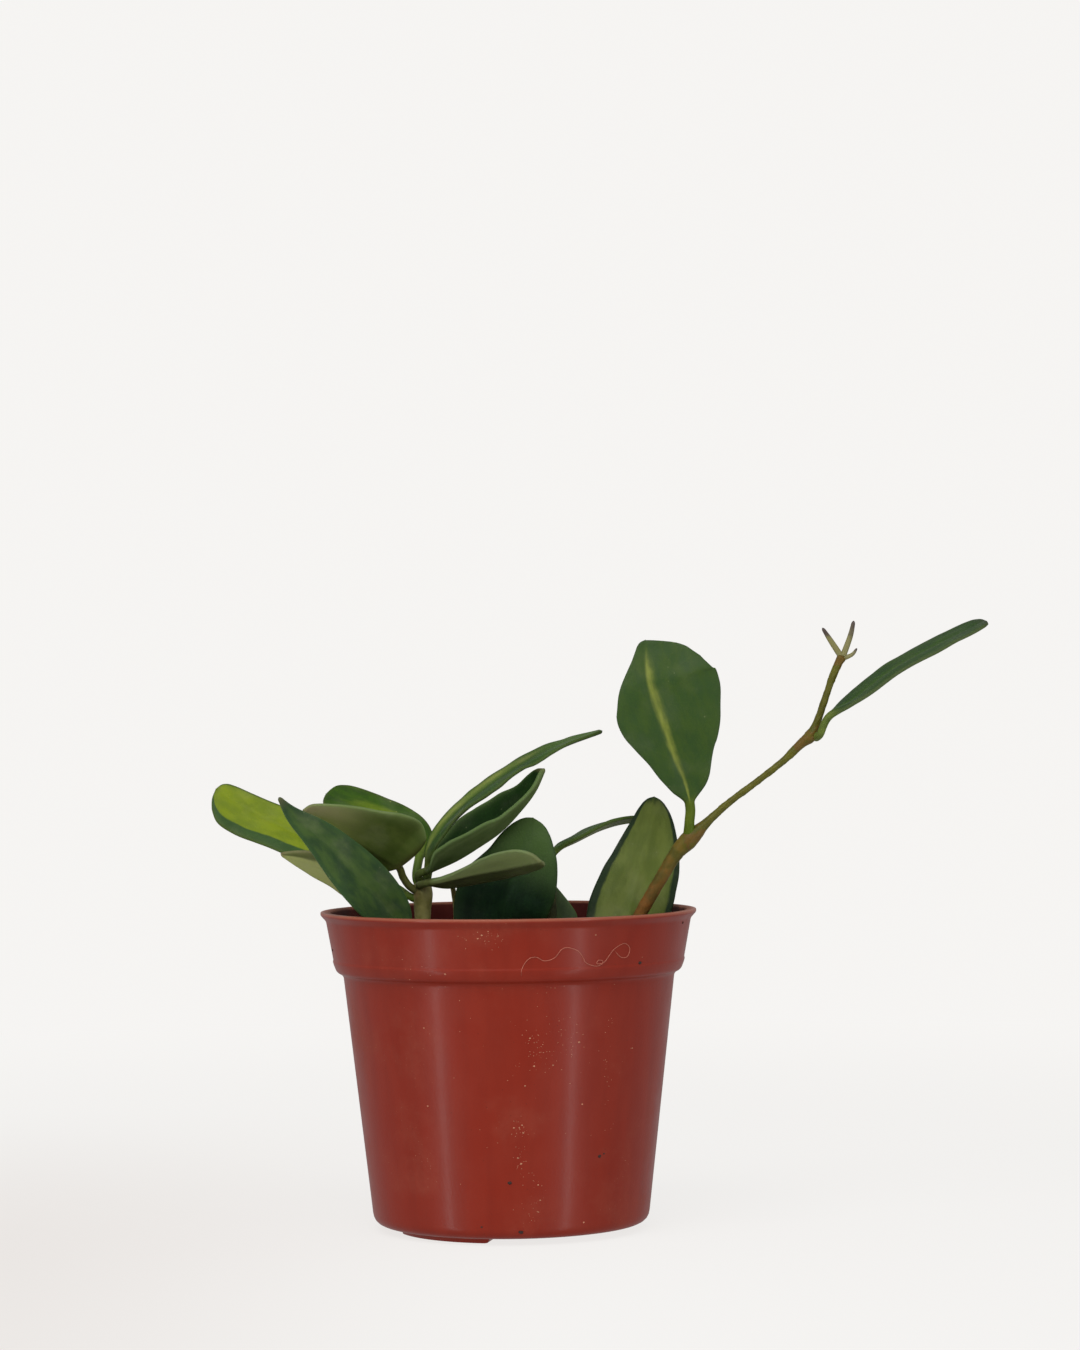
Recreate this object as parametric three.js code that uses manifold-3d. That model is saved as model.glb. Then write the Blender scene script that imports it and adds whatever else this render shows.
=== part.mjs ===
// A young hoya with four rooted cuttings in a round plastic nursery pot.
// Millimetres, +Z up, the front of the pot towards -Y. The origin is the middle of
// the pot's underside, on the surface it stands on.

import * as THREE from 'three';
import { mergeVertices } from 'three/addons/utils/BufferGeometryUtils.js';
import Module from 'manifold-3d';

const wasm = await Module();
wasm.setup();

// Driving dimensions

const GAP = 0.3; // clearance between pieces that touch
const FACET_ROOM = 0.1; // extra clearance where flat facets stand in for round walls
const WELD = 1e-4; // points closer than this become one

const POT = {
  color: 0x8c3527,
  roughness: 0.42,
  height: 76,
  rimRadius: 45,
  lipThickness: 0.9,
  lipRounding: 0.3,
  wall: 1,
  bandTopRadius: 43.7,
  bandTop: 73.9, // height where the wall starts to flare into the lip
  flare: [0.5, 0.6], // out and up from the band's top to the lip's underside
  bandFootRadius: 41.9,
  bandFoot: 64.2, // height where the band starts to turn in
  step: [[0.8, 0.5], [1.6, 1.4], [2.1, 2.6]], // rounded step, out and up from the body's top
  innerStep: [0.4, 1], // in and down from the inside of the band's foot
  bodyTop: 60.5, // height where the tapered body ends
  bodyTopRadius: 39.6,
  bodyFootRadius: 32.8,
  cornerRadius: 3,
  cornerSteps: 4,
  innerCorner: 1.6, // how far the inside turns in at the floor
  floor: 1.3, // thickness of the bottom
  segments: 60,
};

const FOOT = {
  height: 1.4,
  radius: 27.6,
  hubRadius: 9,
  span: 60, // degrees
  centres: [-41.5, 138.5], // degrees from the front towards +X
  drainTurns: [60, 120], // from each foot's centre to its rows of drain holes
  sunk: 0.6,
  innerShare: 0.8, // how far into the hub each foot starts, as a share of its radius
  segments: 12,
  hubSegments: 36,
};

// Drain holes lie in rows between the feet: [distance from the axis, radius]
const DRAINS = [[14, 2.4], [23.5, 2.8]];
const DRAIN_SEGMENTS = 16;

const SOIL = {
  color: 0x33261c,
  roughness: 0.95,
  top: 60,
  shoulder: 1.6, // how far the soil falls at the wall
  skirt: 2.4, // height of the turned-in edge at the floor
  // waves that make the surface uneven: height, then how fast each turns along x and y
  hollows: { height: 0.8, x: 0.21, y: 0.17, start: [1.3, -0.4] },
  lumps: [[0.45, 0.83, -0.61, 0], [0.35, 0.52, 0.94, Math.PI / 2]],
  rings: [35, 30, 24.5, 19, 13.5, 8, 3],
  segments: 36,
  chips: 26,
  chipSize: [1.2, 2.6],
  chipShape: [1.4, 0.9, 0.5],
  chipReach: 33,
  chipSink: 0.5,
  chipClearOfStems: 6.5,
  seed: 7,
};

const ROOT_DEPTH = 9; // how far each stem stands in the soil
const HOLE_RISE = 8; // how far a stem's hole reaches above the soil's level
const HOLE_SEGMENTS = 14;
const STEM = { roughness: 0.6, sides: 10, rings: 16, vineRings: 46, budSides: 6, budRings: 4 };

// Stems: points of the centre line and the radius at each point
const STEMS = {
  stem_left: {
    color: 0x7f8a4d,
    path: [[-20.4, -3, 66], [-20.5, -3, 75], [-20.4, -3, 80], [-20.6, -3, 83.6]],
    radii: [1.9, 1.95, 2.35, 1.9],
  },
  stem_front_left: {
    color: 0x6f7a45,
    path: [[-24.4, -11, 64], [-24.4, -11, 68], [-24.6, -11.3, 72]],
    radii: [1.4, 1.4, 1.5],
  },
  stem_middle: {
    color: 0x8a8a52,
    path: [[10.2, 6, 66], [10.2, 6, 76], [10.3, 6, 83], [10.4, 6, 87.6]],
    radii: [1.5, 1.4, 1.3, 1.1],
  },
  thin_shoot: {
    color: 0x8f9a52,
    path: [[-12.6, 8, 66], [-12.6, 8, 72], [-12.8, 8, 77], [-13.3, 8, 80.5], [-13.7, 8, 82.6]],
    radii: [0.7, 0.68, 0.65, 0.62, 0.75],
  },
  vine_right: {
    color: 0x7d6038,
    path: [
      [24.6, 0, 61.2], [25, -0.1, 63.2], [27.5, -0.9, 67.2], [31.8, -2, 75.1],
      [37.2, -2, 84.2], [40.4, -2, 89.2], [43.2, -2, 92.1], [45.5, -2, 94.3],
      [47.7, -2, 96.4], [52.7, -1.8, 100.8], [59.4, -1.5, 105.7], [66, -1.2, 110.7],
      [70.6, -1, 115], [72.9, -1, 116.8], [74.1, -1, 119.1], [75.8, -1, 123.7],
      [77.9, -0.5, 129.7], [79.9, 0, 134.3], [81, 0, 136],
    ],
    radii: [1.4, 1.4, 1.45, 1.5, 1.55, 1.75, 2.15, 1.65, 1.1, 0.85, 0.8, 0.85, 1.15, 1.5, 1.05,
      0.85, 0.85, 1, 1.3],
  },
};

// Half-open leaves at the vine's tip, from their root to their point
const BUDS = [
  { path: [[80.5, 0, 136.2], [78, 0, 139.7], [76.1, 0, 142.8]], radii: [0.75, 0.65, 0.4] },
  { path: [[81.2, 0, 136.3], [82.8, 0, 140.7], [83.7, 0, 144.4]], radii: [0.75, 0.65, 0.45] },
  { path: [[81.1, 0, 135.3], [83.2, 0, 136.2], [84.4, 0, 137.7]], radii: [0.6, 0.45, 0.3] },
];

const LEAF = {
  roughness: 0.5,
  stalkRadius: 0.9,
  thickness: 1.3, // along the midrib
  tipThickness: 1,
  tipWidth: 0.5, // half width of the blunt end
  edge: 0.35, // 1 gives an oval section, less gives a fuller edge
  flatFrom: 0.14, // share of the blade over which the round stalk turns flat
  endRound: 0.05, // share of a lopsided blade's length that rounds off each end
  stalkRings: 2,
  bladeRings: 16,
  sides: 10,
  keel: 0.7, // rounding of the fold along the midrib
};

// Leaves: the midrib runs from the stalk's root to the tip and stalk is the stalk's length.
// width is the widest place and widest where it lies along the blade; base and tip give
// the roundness of each end (power, root). A lopsided leaf gives its half widths at even
// steps along the blade instead. up points out of the upper side at the base and at the
// tip, and fold lifts both halves towards the upper side, in degrees. A stout stalk has a
// radius of its own.
const LEAVES = {
  leaf_far_left: {
    color: 0x6f8420,
    midrib: [[-23.5, -2.6, 79.5], [-26.4, -1, 81.4], [-33, 2, 85.2], [-43, 5, 90.4],
      [-55, 9, 96.4], [-61.6, 10.5, 99.8], [-70.8, 12, 105.4]],
    stalk: 6,
    left: [0, 1.5, 3.2, 4.9, 5.9, 6.3, 6.6, 7, 7.6, 7.2, 3.6],
    right: [0, 1.2, 2.6, 3.9, 4.8, 5, 4.8, 4.4, 3.9, 3.3, 2.4],
    up: [[0.1, -0.85, 0.5], [0.15, -0.95, 0.3]], fold: [12, 4],
  },
  leaf_front_left: {
    color: 0x2f4d2b,
    midrib: [[-25, -13.9, 69.2], [-26.4, -16, 74], [-29.9, -19, 79], [-37.3, -24, 87.7],
      [-43.7, -28, 94.7], [-49.5, -31, 99.9], [-52.6, -33, 104]],
    stalk: 2.4, width: 12.6, widest: 0.34, base: [2.6, 0.45], tip: [1.5, 0.9],
    up: [[0, -0.8, 0.5], [0, -0.95, 0.3]], fold: [8, 6],
  },
  leaf_low_left: {
    color: 0x6b7a4b,
    midrib: [[-27.2, -12, 71.7], [-29.2, -13.4, 77.3], [-37.2, -15, 83.7], [-45.4, -16, 87.8],
      [-53.3, -17, 90.6]],
    stalk: 4, width: 10.6, widest: 0.42, base: [2, 0.7], tip: [1.8, 0.8],
    up: [[0, 0.75, 0.7], [0, 0.7, 0.75]], fold: [10, 6],
  },
  leaf_mid_left: {
    color: 0x5c6a3c,
    midrib: [[-23.4, -4.4, 81.9], [-25, -5.2, 84.2], [-26.4, -7, 87.2], [-32.1, -12, 91.3],
      [-38.2, -17, 95.3], [-43.9, -20, 98.8], [-47.7, -22, 101]],
    stalk: 6.2,
    left: [9, 11.6, 12.2, 11.8, 10.8, 9.5, 8.2, 6.8, 5.4, 3.8, 1.8],
    right: [3, 6.4, 8.4, 9, 8.8, 8, 7, 5.6, 4.2, 2.8, 1.4],
    up: [[-0.2, 0.7, 0.68], [-0.1, 0.7, 0.7]], fold: [12, 8],
  },
  leaf_back_left: {
    color: 0x5f7d24,
    midrib: [[-21.9, -2.2, 84.5], [-21.1, 1.9, 90], [-21.4, 5.5, 93.8], [-25.8, 9.5, 96.7],
      [-33.2, 13.5, 99.5], [-40.2, 16, 101.9], [-44.3, 17, 103.9]],
    stalk: 5, stalkRadius: 1.05,
    left: [0.8, 2, 3.2, 4.3, 5.2, 5.8, 6.3, 6.4, 6.2, 5.6, 3.4],
    right: [0.8, 2.2, 3.4, 4.4, 5.1, 5.6, 5.8, 5.9, 5.9, 5.4, 3.6],
    up: [[0.5, -0.6, 0.5], [0.1, -0.6, 0.8]], fold: [14, 8],
  },
  leaf_long_right: {
    color: 0x54702a,
    midrib: [[-19.3, -2.3, 84.3], [-18.4, -1.5, 90], [-16, 0, 94.4], [-12.2, 1.6, 98.8],
      [-5.6, 4, 104.2], [3.2, 6, 110], [12.7, 8, 115], [23.2, 10, 118.6]],
    stalk: 3, stalkRadius: 1.05, width: 8.7, widest: 0.45, base: [2.4, 0.6], tip: [1.8, 0.6],
    up: [[-0.85, -0.4, 0.3], [-0.42, -0.28, 0.86]], fold: [12, 6],
  },
  leaf_channelled: {
    color: 0x46623a,
    midrib: [[-21.4, -5.2, 84.7], [-18.7, -6.1, 86], [-12.8, -7.2, 88.5], [-7.6, -7.5, 91.5],
      [-1.8, -7.4, 95.4], [3, -7.2, 100.3], [6.4, -7, 104.7], [8.8, -7, 109.8]],
    stalk: 2,
    left: [2, 4.7, 7.2, 8.8, 9.5, 9.5, 8.8, 7.6, 6, 4.4, 2.2],
    right: [2.2, 5.7, 7.1, 7.2, 6.8, 5.9, 4.6, 3.4, 2.4, 1.6, 1],
    up: [[-0.64, -0.12, 0.76], [-0.79, -0.14, 0.6]], fold: [50, 44],
  },
  leaf_level: {
    color: 0x65764d,
    midrib: [[-20.9, -6.2, 82.4], [-16.2, -10, 83.6], [-8.9, -17, 85.4], [-1.9, -23, 86.8],
      [4, -28, 88], [7.7, -31.2, 88.8]],
    stalk: 3,
    left: [2, 4.7, 5.8, 6.1, 6.1, 5.9, 5.5, 5, 4.5, 3.8, 2.4],
    right: [0, 0.4, 0.9, 1.6, 2.4, 3.4, 4.4, 5.1, 5.4, 5.2, 3.6],
    up: [[0, 0.64, 0.77], [0, 0.64, 0.77]], fold: [10, 8],
  },
  leaf_broad_middle: {
    color: 0x27452a,
    midrib: [[8.6, 4.9, 65], [6.2, 3.6, 64.8], [2.8, 1.8, 65.8], [-0.2, 0.4, 69], [-1.4, -1, 74],
      [0.2, -2.6, 81], [2.6, -3.2, 87.7], [4.2, -2.8, 93], [6.1, -2, 98]],
    stalk: 9,
    left: [0, 8, 11.4, 12, 12.1, 11.3, 9.3, 7.7, 6.3, 4.3, 1.8],
    right: [0, 8, 10.2, 10.6, 11.1, 11.4, 10.9, 9.6, 8, 6, 2.9],
    up: [[0.1, -0.9, 0.4], [-0.1, -1, 0.1]], fold: [10, 8],
  },
  leaf_small_middle: {
    color: 0x4a5c41,
    midrib: [[12.6, 7.3, 66.4], [12, 9, 69.4], [10.6, 10.4, 74], [9.4, 11.6, 79], [8.4, 12.5, 84.4]],
    stalk: 3, width: 11.5, widest: 0.25, base: [2.6, 0.5], tip: [1.3, 0.9],
    up: [[0, -1, 0.2], [0, -1, 0.2]], fold: [8, 6],
  },
  leaf_arching: {
    color: 0x4b6a33,
    midrib: [[10.2, 8.6, 85.2], [10.6, 9.3, 88.3], [12.6, 10.6, 90.5], [16.4, 12, 92.2],
      [22.5, 14, 94.9], [28.7, 16, 96.4], [36, 18, 96.6]],
    stalk: 4, width: 9.8, widest: 0.5, base: [1.8, 0.9], tip: [1.7, 0.8],
    up: [[-0.35, -0.15, 0.92], [0, 0.25, 0.95]], fold: [12, 8],
  },
  leaf_broad_right: {
    color: 0x66744a,
    midrib: [[26.6, 1.9, 65.2], [27.4, 3.6, 67.4], [28.9, 5.4, 74.1], [30.9, 7, 81.2],
      [32.7, 8, 86.5], [34.8, 9, 94.9], [35.6, 9, 102.5]],
    stalk: 2.5,
    left: [0, 8.7, 10, 10.2, 10.2, 9.8, 9, 7.8, 6.1, 4.2, 1.8],
    right: [0, 8.7, 10, 9.8, 9.2, 8.5, 7.6, 6.6, 5.4, 3.9, 1.8],
    up: [[0, 1, 0.1], [0, 1, 0]], fold: [10, 8],
  },
  leaf_vine_upright: {
    color: 0x2f5129,
    midrib: [[43.5, -3, 96.4], [43.7, -3.2, 100.3], [42.4, -4, 106.2], [39.9, -4.5, 112.4],
      [37.7, -5, 119], [35.7, -5, 125], [34.1, -5, 130], [33.5, -4, 135.4], [33.4, -3, 140.2]],
    stalk: 4.2, stalkRadius: 1.2,
    left: [0, 3.4, 5.1, 6.3, 8.3, 10, 10.3, 8.6, 5.4, 3, 1.6],
    right: [0, 4.8, 8, 10.8, 13, 14.6, 16, 16.3, 15.2, 12.4, 8.6],
    up: [[0, -1, 0.1], [0, -1, 0.25]], fold: [8, 4],
  },
  leaf_vine_tip: {
    color: 0x3a5a33,
    midrib: [[75, -3.3, 117.2], [75.8, -3.5, 119.2], [76.9, -3.2, 121.1], [78.8, -2.6, 122.6],
      [84.1, -1, 125.7], [93.6, 1.5, 132.6], [104, 3.5, 138.1], [110.6, 4.5, 141.3],
      [116.3, 5.5, 144.2]],
    stalk: 5,
    left: [0, 3.4, 4.5, 4.8, 5, 5.1, 5.3, 5.5, 5.5, 5, 3.6],
    right: [0, 3.2, 4.2, 4.2, 4.2, 4.4, 4.8, 5.3, 5.4, 5.2, 3.8],
    up: [[-0.6, -0.26, 0.8], [-0.4, -0.28, 0.9]], fold: [8, 5],
  },
};

// Helpers

const degrees = THREE.MathUtils.degToRad;

function vector(p) {
  return new THREE.Vector3(...p);
}

function seeded(seed) {
  let state = seed;
  return () => {
    state = (state * 1664525 + 1013904223) % 4294967296;
    return state / 4294967296;
  };
}

// The value at a share of the way through a list, on a smooth curve through its values
function smooth(list, at) {
  const place = THREE.MathUtils.clamp(at, 0, 1) * (list.length - 1);
  const low = Math.min(Math.floor(place), list.length - 2);
  const value = (i) => list[THREE.MathUtils.clamp(i, 0, list.length - 1)];
  const [p, q, r, s] = [low - 1, low, low + 1, low + 2].map(value);
  const t = place - low;
  const steep = (3 * (q - r) + s - p) * t ** 3;
  return q + 0.5 * ((r - p) * t + (2 * p - 5 * q + 4 * r - s) * t ** 2 + steep);
}

// A closed skin over rings of equal length, with a fan of triangles over each end.
// mirrored(j) says where the quad is split the other way.
function loft(rings, startCap, endCap, mirrored = () => false) {
  const count = rings[0].length;
  const positions = rings.flat().flatMap((p) => [p.x, p.y, p.z]);
  const start = rings.length * count;
  const end = start + 1;
  positions.push(startCap.x, startCap.y, startCap.z, endCap.x, endCap.y, endCap.z);
  const index = [];
  for (let i = 0; i + 1 < rings.length; i += 1) {
    for (let j = 0; j < count; j += 1) {
      const a = i * count + j;
      const b = i * count + ((j + 1) % count);
      const c = a + count;
      const d = b + count;
      if (mirrored(j)) index.push(a, b, c, b, d, c);
      else index.push(a, b, d, a, d, c);
    }
  }
  for (let j = 0; j < count; j += 1) {
    const next = (j + 1) % count;
    const last = (rings.length - 1) * count;
    index.push(start, next, j, end, last + j, last + next);
  }
  const geometry = new THREE.BufferGeometry();
  geometry.setAttribute('position', new THREE.Float32BufferAttribute(positions, 3));
  geometry.setIndex(index);
  return geometry;
}

// A round stem along a centre line, with straight ends cut square
function stemGeometry({ path, radii }, sides, rings) {
  const line = new THREE.CatmullRomCurve3(path.map(vector), false, 'catmullrom', 0.5);
  const frames = line.computeFrenetFrames(rings, false);
  const skin = [];
  for (let i = 0; i <= rings; i += 1) {
    const centre = line.getPointAt(i / rings);
    const radius = smooth(radii, line.getUtoTmapping(i / rings));
    skin.push(Array.from({ length: sides }, (_, j) => {
      const turn = (2 * Math.PI * j) / sides;
      return centre.clone()
        .addScaledVector(frames.normals[i], radius * Math.cos(turn))
        .addScaledVector(frames.binormals[i], radius * Math.sin(turn));
    }));
  }
  return loft(skin, line.getPointAt(0), line.getPointAt(1));
}

// The half width of a blade at a share of its length; side is -1 on the left, 1 on the right
function halfWidth(leaf, along, side) {
  if (leaf.left) {
    const end = Math.max(1 - Math.min(along, 1 - along) / LEAF.endRound, 0);
    return smooth(side < 0 ? leaf.left : leaf.right, along) * Math.sqrt(1 - end ** 2);
  }
  const near = along < leaf.widest;
  const [power, root] = near ? leaf.base : leaf.tip;
  const reach = near ? leaf.widest : 1 - leaf.widest;
  return (leaf.width / 2) * (1 - (Math.abs(along - leaf.widest) / reach) ** power) ** root;
}

// One leaf: a round stalk that widens into a blade, folded a little along its midrib
function leafGeometry(leaf) {
  const line = new THREE.CatmullRomCurve3(leaf.midrib.map(vector), false, 'catmullrom', 0.5);
  const length = line.getLength();
  const stalkShare = leaf.stalk / length;
  const stalkRadius = leaf.stalkRadius ?? LEAF.stalkRadius;
  const upBase = vector(leaf.up[0]);
  const upTip = vector(leaf.up[1]);
  const stations = [];
  for (let i = 0; i < LEAF.stalkRings; i += 1) {
    stations.push([(stalkShare * i) / LEAF.stalkRings, 0]);
  }
  for (let i = 0; i <= LEAF.bladeRings; i += 1) {
    const along = (1 - Math.cos((Math.PI * i) / LEAF.bladeRings)) / 2;
    stations.push([stalkShare + (1 - stalkShare) * along, along]);
  }
  const skin = stations.map(([share, along]) => {
    const centre = line.getPointAt(share);
    const tangent = line.getTangentAt(share);
    const up = upBase.clone().lerp(upTip, share);
    const sideways = tangent.clone().cross(up).normalize();
    const normal = sideways.clone().cross(tangent);
    const flat = THREE.MathUtils.smoothstep(along, 0, LEAF.flatFrom);
    const thick = THREE.MathUtils.lerp(
      2 * stalkRadius,
      THREE.MathUtils.lerp(LEAF.thickness, LEAF.tipThickness, along),
      flat,
    );
    const narrow = THREE.MathUtils.lerp(stalkRadius, LEAF.tipWidth, along);
    const fold = degrees(THREE.MathUtils.lerp(leaf.fold[0], leaf.fold[1], along)) * flat;
    const edge = THREE.MathUtils.lerp(1, LEAF.edge, flat);
    return Array.from({ length: LEAF.sides }, (_, j) => {
      const turn = (2 * Math.PI * (j + 0.5)) / LEAF.sides;
      const side = -Math.sign(Math.cos(turn));
      const half = along > 0 ? halfWidth(leaf, along, side) : 0;
      const across = -Math.cos(turn) * Math.hypot(narrow, half);
      const high = Math.sin(turn);
      const skinHeight = (thick / 2) * Math.sign(high) * Math.abs(high) ** edge;
      const lift = (Math.hypot(across, LEAF.keel) - LEAF.keel) * Math.sin(fold);
      return centre.clone()
        .addScaledVector(sideways, across * Math.cos(fold))
        .addScaledVector(normal, lift + skinHeight);
    });
  });
  const onTop = (j) => j < LEAF.sides / 2;
  return loft(skin, line.getPointAt(0), line.getPointAt(1), onTop);
}

function toSolid(geometry) {
  const bare = geometry.clone();
  for (const name of Object.keys(bare.attributes)) {
    if (name !== 'position') bare.deleteAttribute(name);
  }
  const merged = mergeVertices(bare, WELD);
  return new wasm.Manifold(new wasm.Mesh({
    numProp: 3,
    vertProperties: new Float32Array(merged.attributes.position.array),
    triVerts: new Uint32Array(merged.index.array),
  }));
}

function toGeometry(solid) {
  const { vertProperties, triVerts } = solid.getMesh();
  const geometry = new THREE.BufferGeometry();
  geometry.setAttribute('position', new THREE.BufferAttribute(vertProperties, 3));
  geometry.setIndex(new THREE.BufferAttribute(triVerts, 1));
  return geometry;
}

// Pot

function innerRadius(z) {
  // the inside of the tapered body
  const share = (z - POT.cornerRadius) / (POT.bodyTop - POT.cornerRadius);
  return THREE.MathUtils.lerp(POT.bodyFootRadius, POT.bodyTopRadius, share) - POT.wall;
}

function potProfile() {
  const corner = POT.cornerRadius;
  const bottom = FOOT.height;
  const lipFoot = POT.height - POT.lipThickness;
  const outer = [[0, bottom]];
  for (let i = 0; i <= POT.cornerSteps; i += 1) {
    const turn = (Math.PI / 2) * (i / POT.cornerSteps);
    outer.push([
      POT.bodyFootRadius - corner * (1 - Math.sin(turn)),
      bottom + corner * (1 - Math.cos(turn)),
    ]);
  }
  outer.push(
    [POT.bodyTopRadius, POT.bodyTop],
    ...POT.step.map(([out, up]) => [POT.bodyTopRadius + out, POT.bodyTop + up]),
    [POT.bandFootRadius, POT.bandFoot],
    [POT.bandTopRadius, POT.bandTop],
    [POT.bandTopRadius + POT.flare[0], POT.bandTop + POT.flare[1]],
    [POT.rimRadius, lipFoot],
    [POT.rimRadius, POT.height - POT.lipRounding],
    [POT.rimRadius - POT.lipRounding, POT.height],
  );
  const bandInside = POT.bandFootRadius - POT.wall;
  const footInside = innerRadius(bottom + corner);
  const inner = [
    [POT.bandTopRadius - POT.wall + POT.lipRounding, POT.height],
    [POT.bandTopRadius - POT.wall, POT.height - POT.lipRounding],
    [bandInside, POT.bandFoot],
    [bandInside - POT.innerStep[0], POT.bandFoot - POT.innerStep[1]],
    [POT.bodyTopRadius - POT.wall, POT.bodyTop + POT.lipRounding],
    [footInside, bottom + corner],
    [footInside - POT.innerCorner, bottom + POT.floor],
    [0, bottom + POT.floor],
  ];
  return [...outer, ...inner].map(([r, z]) => new THREE.Vector2(r, z));
}

function footGeometry(centre) {
  const half = FOOT.span / 2;
  const shape = new THREE.Shape();
  const at = (angle, radius) => new THREE.Vector2(
    radius * Math.sin(degrees(angle)),
    -radius * Math.cos(degrees(angle)),
  );
  const innerEdge = FOOT.hubRadius * FOOT.innerShare;
  const points = [];
  for (let i = 0; i <= FOOT.segments; i += 1) {
    points.push(at(centre - half + (FOOT.span * i) / FOOT.segments, FOOT.radius));
  }
  points.push(at(centre + half, innerEdge), at(centre - half, innerEdge));
  shape.setFromPoints(points);
  return new THREE.ExtrudeGeometry(shape, {
    depth: FOOT.height + FOOT.sunk, bevelEnabled: false,
  });
}

function uprightCylinder(radius, low, high, x, y, sides) {
  return new THREE.CylinderGeometry(radius, radius, high - low, sides)
    .rotateX(Math.PI / 2)
    .translate(x, y, (low + high) / 2);
}

function potGeometry() {
  const shell = new THREE.LatheGeometry(potProfile(), POT.segments).rotateX(Math.PI / 2);
  let pot = toSolid(shell);
  const footTop = FOOT.height + FOOT.sunk;
  const hub = uprightCylinder(FOOT.hubRadius, 0, footTop, 0, 0, FOOT.hubSegments);
  pot = pot.add(toSolid(hub));
  for (const centre of FOOT.centres) {
    pot = pot.add(toSolid(footGeometry(centre)));
    for (const turn of FOOT.drainTurns) {
      const channel = degrees(centre + turn);
      for (const [reach, radius] of DRAINS) {
        const x = reach * Math.sin(channel);
        const y = -reach * Math.cos(channel);
        const drain = uprightCylinder(radius, -1, footTop + POT.floor + 1, x, y, DRAIN_SEGMENTS);
        pot = pot.subtract(toSolid(drain));
      }
    }
  }
  return toGeometry(pot);
}

// Soil

function soilRadius(z) {
  return innerRadius(z) - GAP - FACET_ROOM;
}

function soilHeight(x, y) {
  const { height, x: alongX, y: alongY, start } = SOIL.hollows;
  const hollow = height * Math.sin(alongX * x + start[0]) * Math.cos(alongY * y + start[1]);
  return SOIL.lumps.reduce(
    (sum, [rise, turnX, turnY, from]) => sum + rise * Math.sin(turnX * x + turnY * y + from),
    SOIL.top + hollow,
  );
}

function soilGeometry() {
  const bottom = FOOT.height + POT.floor + GAP;
  const shoulder = SOIL.top - SOIL.shoulder;
  const skirt = bottom + SOIL.skirt;
  const ring = (radius, z) => Array.from({ length: SOIL.segments }, (_, j) => {
    const turn = (2 * Math.PI * j) / SOIL.segments;
    const x = radius * Math.cos(turn);
    const y = radius * Math.sin(turn);
    return new THREE.Vector3(x, y, z ?? soilHeight(x, y));
  });
  const floorRadius = soilRadius(FOOT.height + POT.cornerRadius) - POT.innerCorner;
  const rings = [
    ring(floorRadius, bottom),
    ring(soilRadius(skirt) - FACET_ROOM, skirt),
    ring(soilRadius(shoulder), shoulder),
    ...SOIL.rings.map((radius) => ring(radius)),
  ];
  const centreTop = new THREE.Vector3(0, 0, soilHeight(0, 0));
  let soil = toSolid(loft(rings, new THREE.Vector3(0, 0, bottom), centreTop));
  const random = seeded(SOIL.seed);
  const roots = Object.values(STEMS).map((stem) => stem.path[0]);
  let placed = 0;
  while (placed < SOIL.chips) {
    const reach = SOIL.chipReach * Math.sqrt(random());
    const turn = 2 * Math.PI * random();
    const x = reach * Math.cos(turn);
    const y = reach * Math.sin(turn);
    const size = THREE.MathUtils.lerp(...SOIL.chipSize, random());
    const tilt = [random() - 0.5, random() - 0.5, 2 * Math.PI * random()];
    const clear = roots.every(([rx, ry]) => Math.hypot(x - rx, y - ry) > SOIL.chipClearOfStems);
    if (clear) {
      const chip = new THREE.IcosahedronGeometry(size, 0)
        .scale(...SOIL.chipShape)
        .rotateX(tilt[0]).rotateY(tilt[1]).rotateZ(tilt[2])
        .translate(x, y, soilHeight(x, y) - SOIL.chipSink);
      soil = soil.add(toSolid(chip));
      placed += 1;
    }
  }
  const low = SOIL.top - ROOT_DEPTH - GAP;
  const high = SOIL.top + HOLE_RISE;
  for (const { path, radii } of Object.values(STEMS)) {
    const [x, y] = path[0];
    const radius = radii[0] + GAP + FACET_ROOM;
    soil = soil.subtract(toSolid(uprightCylinder(radius, low, high, x, y, HOLE_SEGMENTS)));
  }
  return toGeometry(soil);
}

// Stems with their straight root in the soil

function rooted({ path, radii }) {
  const [x, y, z] = path[0];
  const foot = SOIL.top - ROOT_DEPTH;
  return {
    path: [[x, y, foot], [x, y, (foot + z) / 2], ...path],
    radii: [radii[0], radii[0], ...radii],
  };
}

function vineGeometry(vine) {
  let solid = toSolid(stemGeometry(rooted(vine), STEM.sides, STEM.vineRings));
  for (const bud of BUDS) {
    solid = solid.add(toSolid(stemGeometry(bud, STEM.budSides, STEM.budRings)));
  }
  return toGeometry(solid);
}

// Assembly

function piece(name, geometry, color, roughness) {
  geometry.computeVertexNormals();
  const material = new THREE.MeshStandardMaterial({ color, roughness, metalness: 0 });
  const mesh = new THREE.Mesh(geometry, material);
  mesh.name = name;
  return mesh;
}

const plant = new THREE.Group();
plant.add(piece('pot', potGeometry(), POT.color, POT.roughness));
plant.add(piece('soil', soilGeometry(), SOIL.color, SOIL.roughness));
for (const [name, stem] of Object.entries(STEMS)) {
  const geometry = name === 'vine_right'
    ? vineGeometry(stem)
    : stemGeometry(rooted(stem), STEM.sides, STEM.rings);
  plant.add(piece(name, geometry, stem.color, STEM.roughness));
}
for (const [name, leaf] of Object.entries(LEAVES)) {
  plant.add(piece(name, leafGeometry(leaf), leaf.color, LEAF.roughness));
}

export default plant;
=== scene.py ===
# A potted hoya: four rooted cuttings in a round plastic nursery pot, on a pale studio floor.
import math

import bpy
import numpy as np
from mathutils import Matrix, Vector


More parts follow.
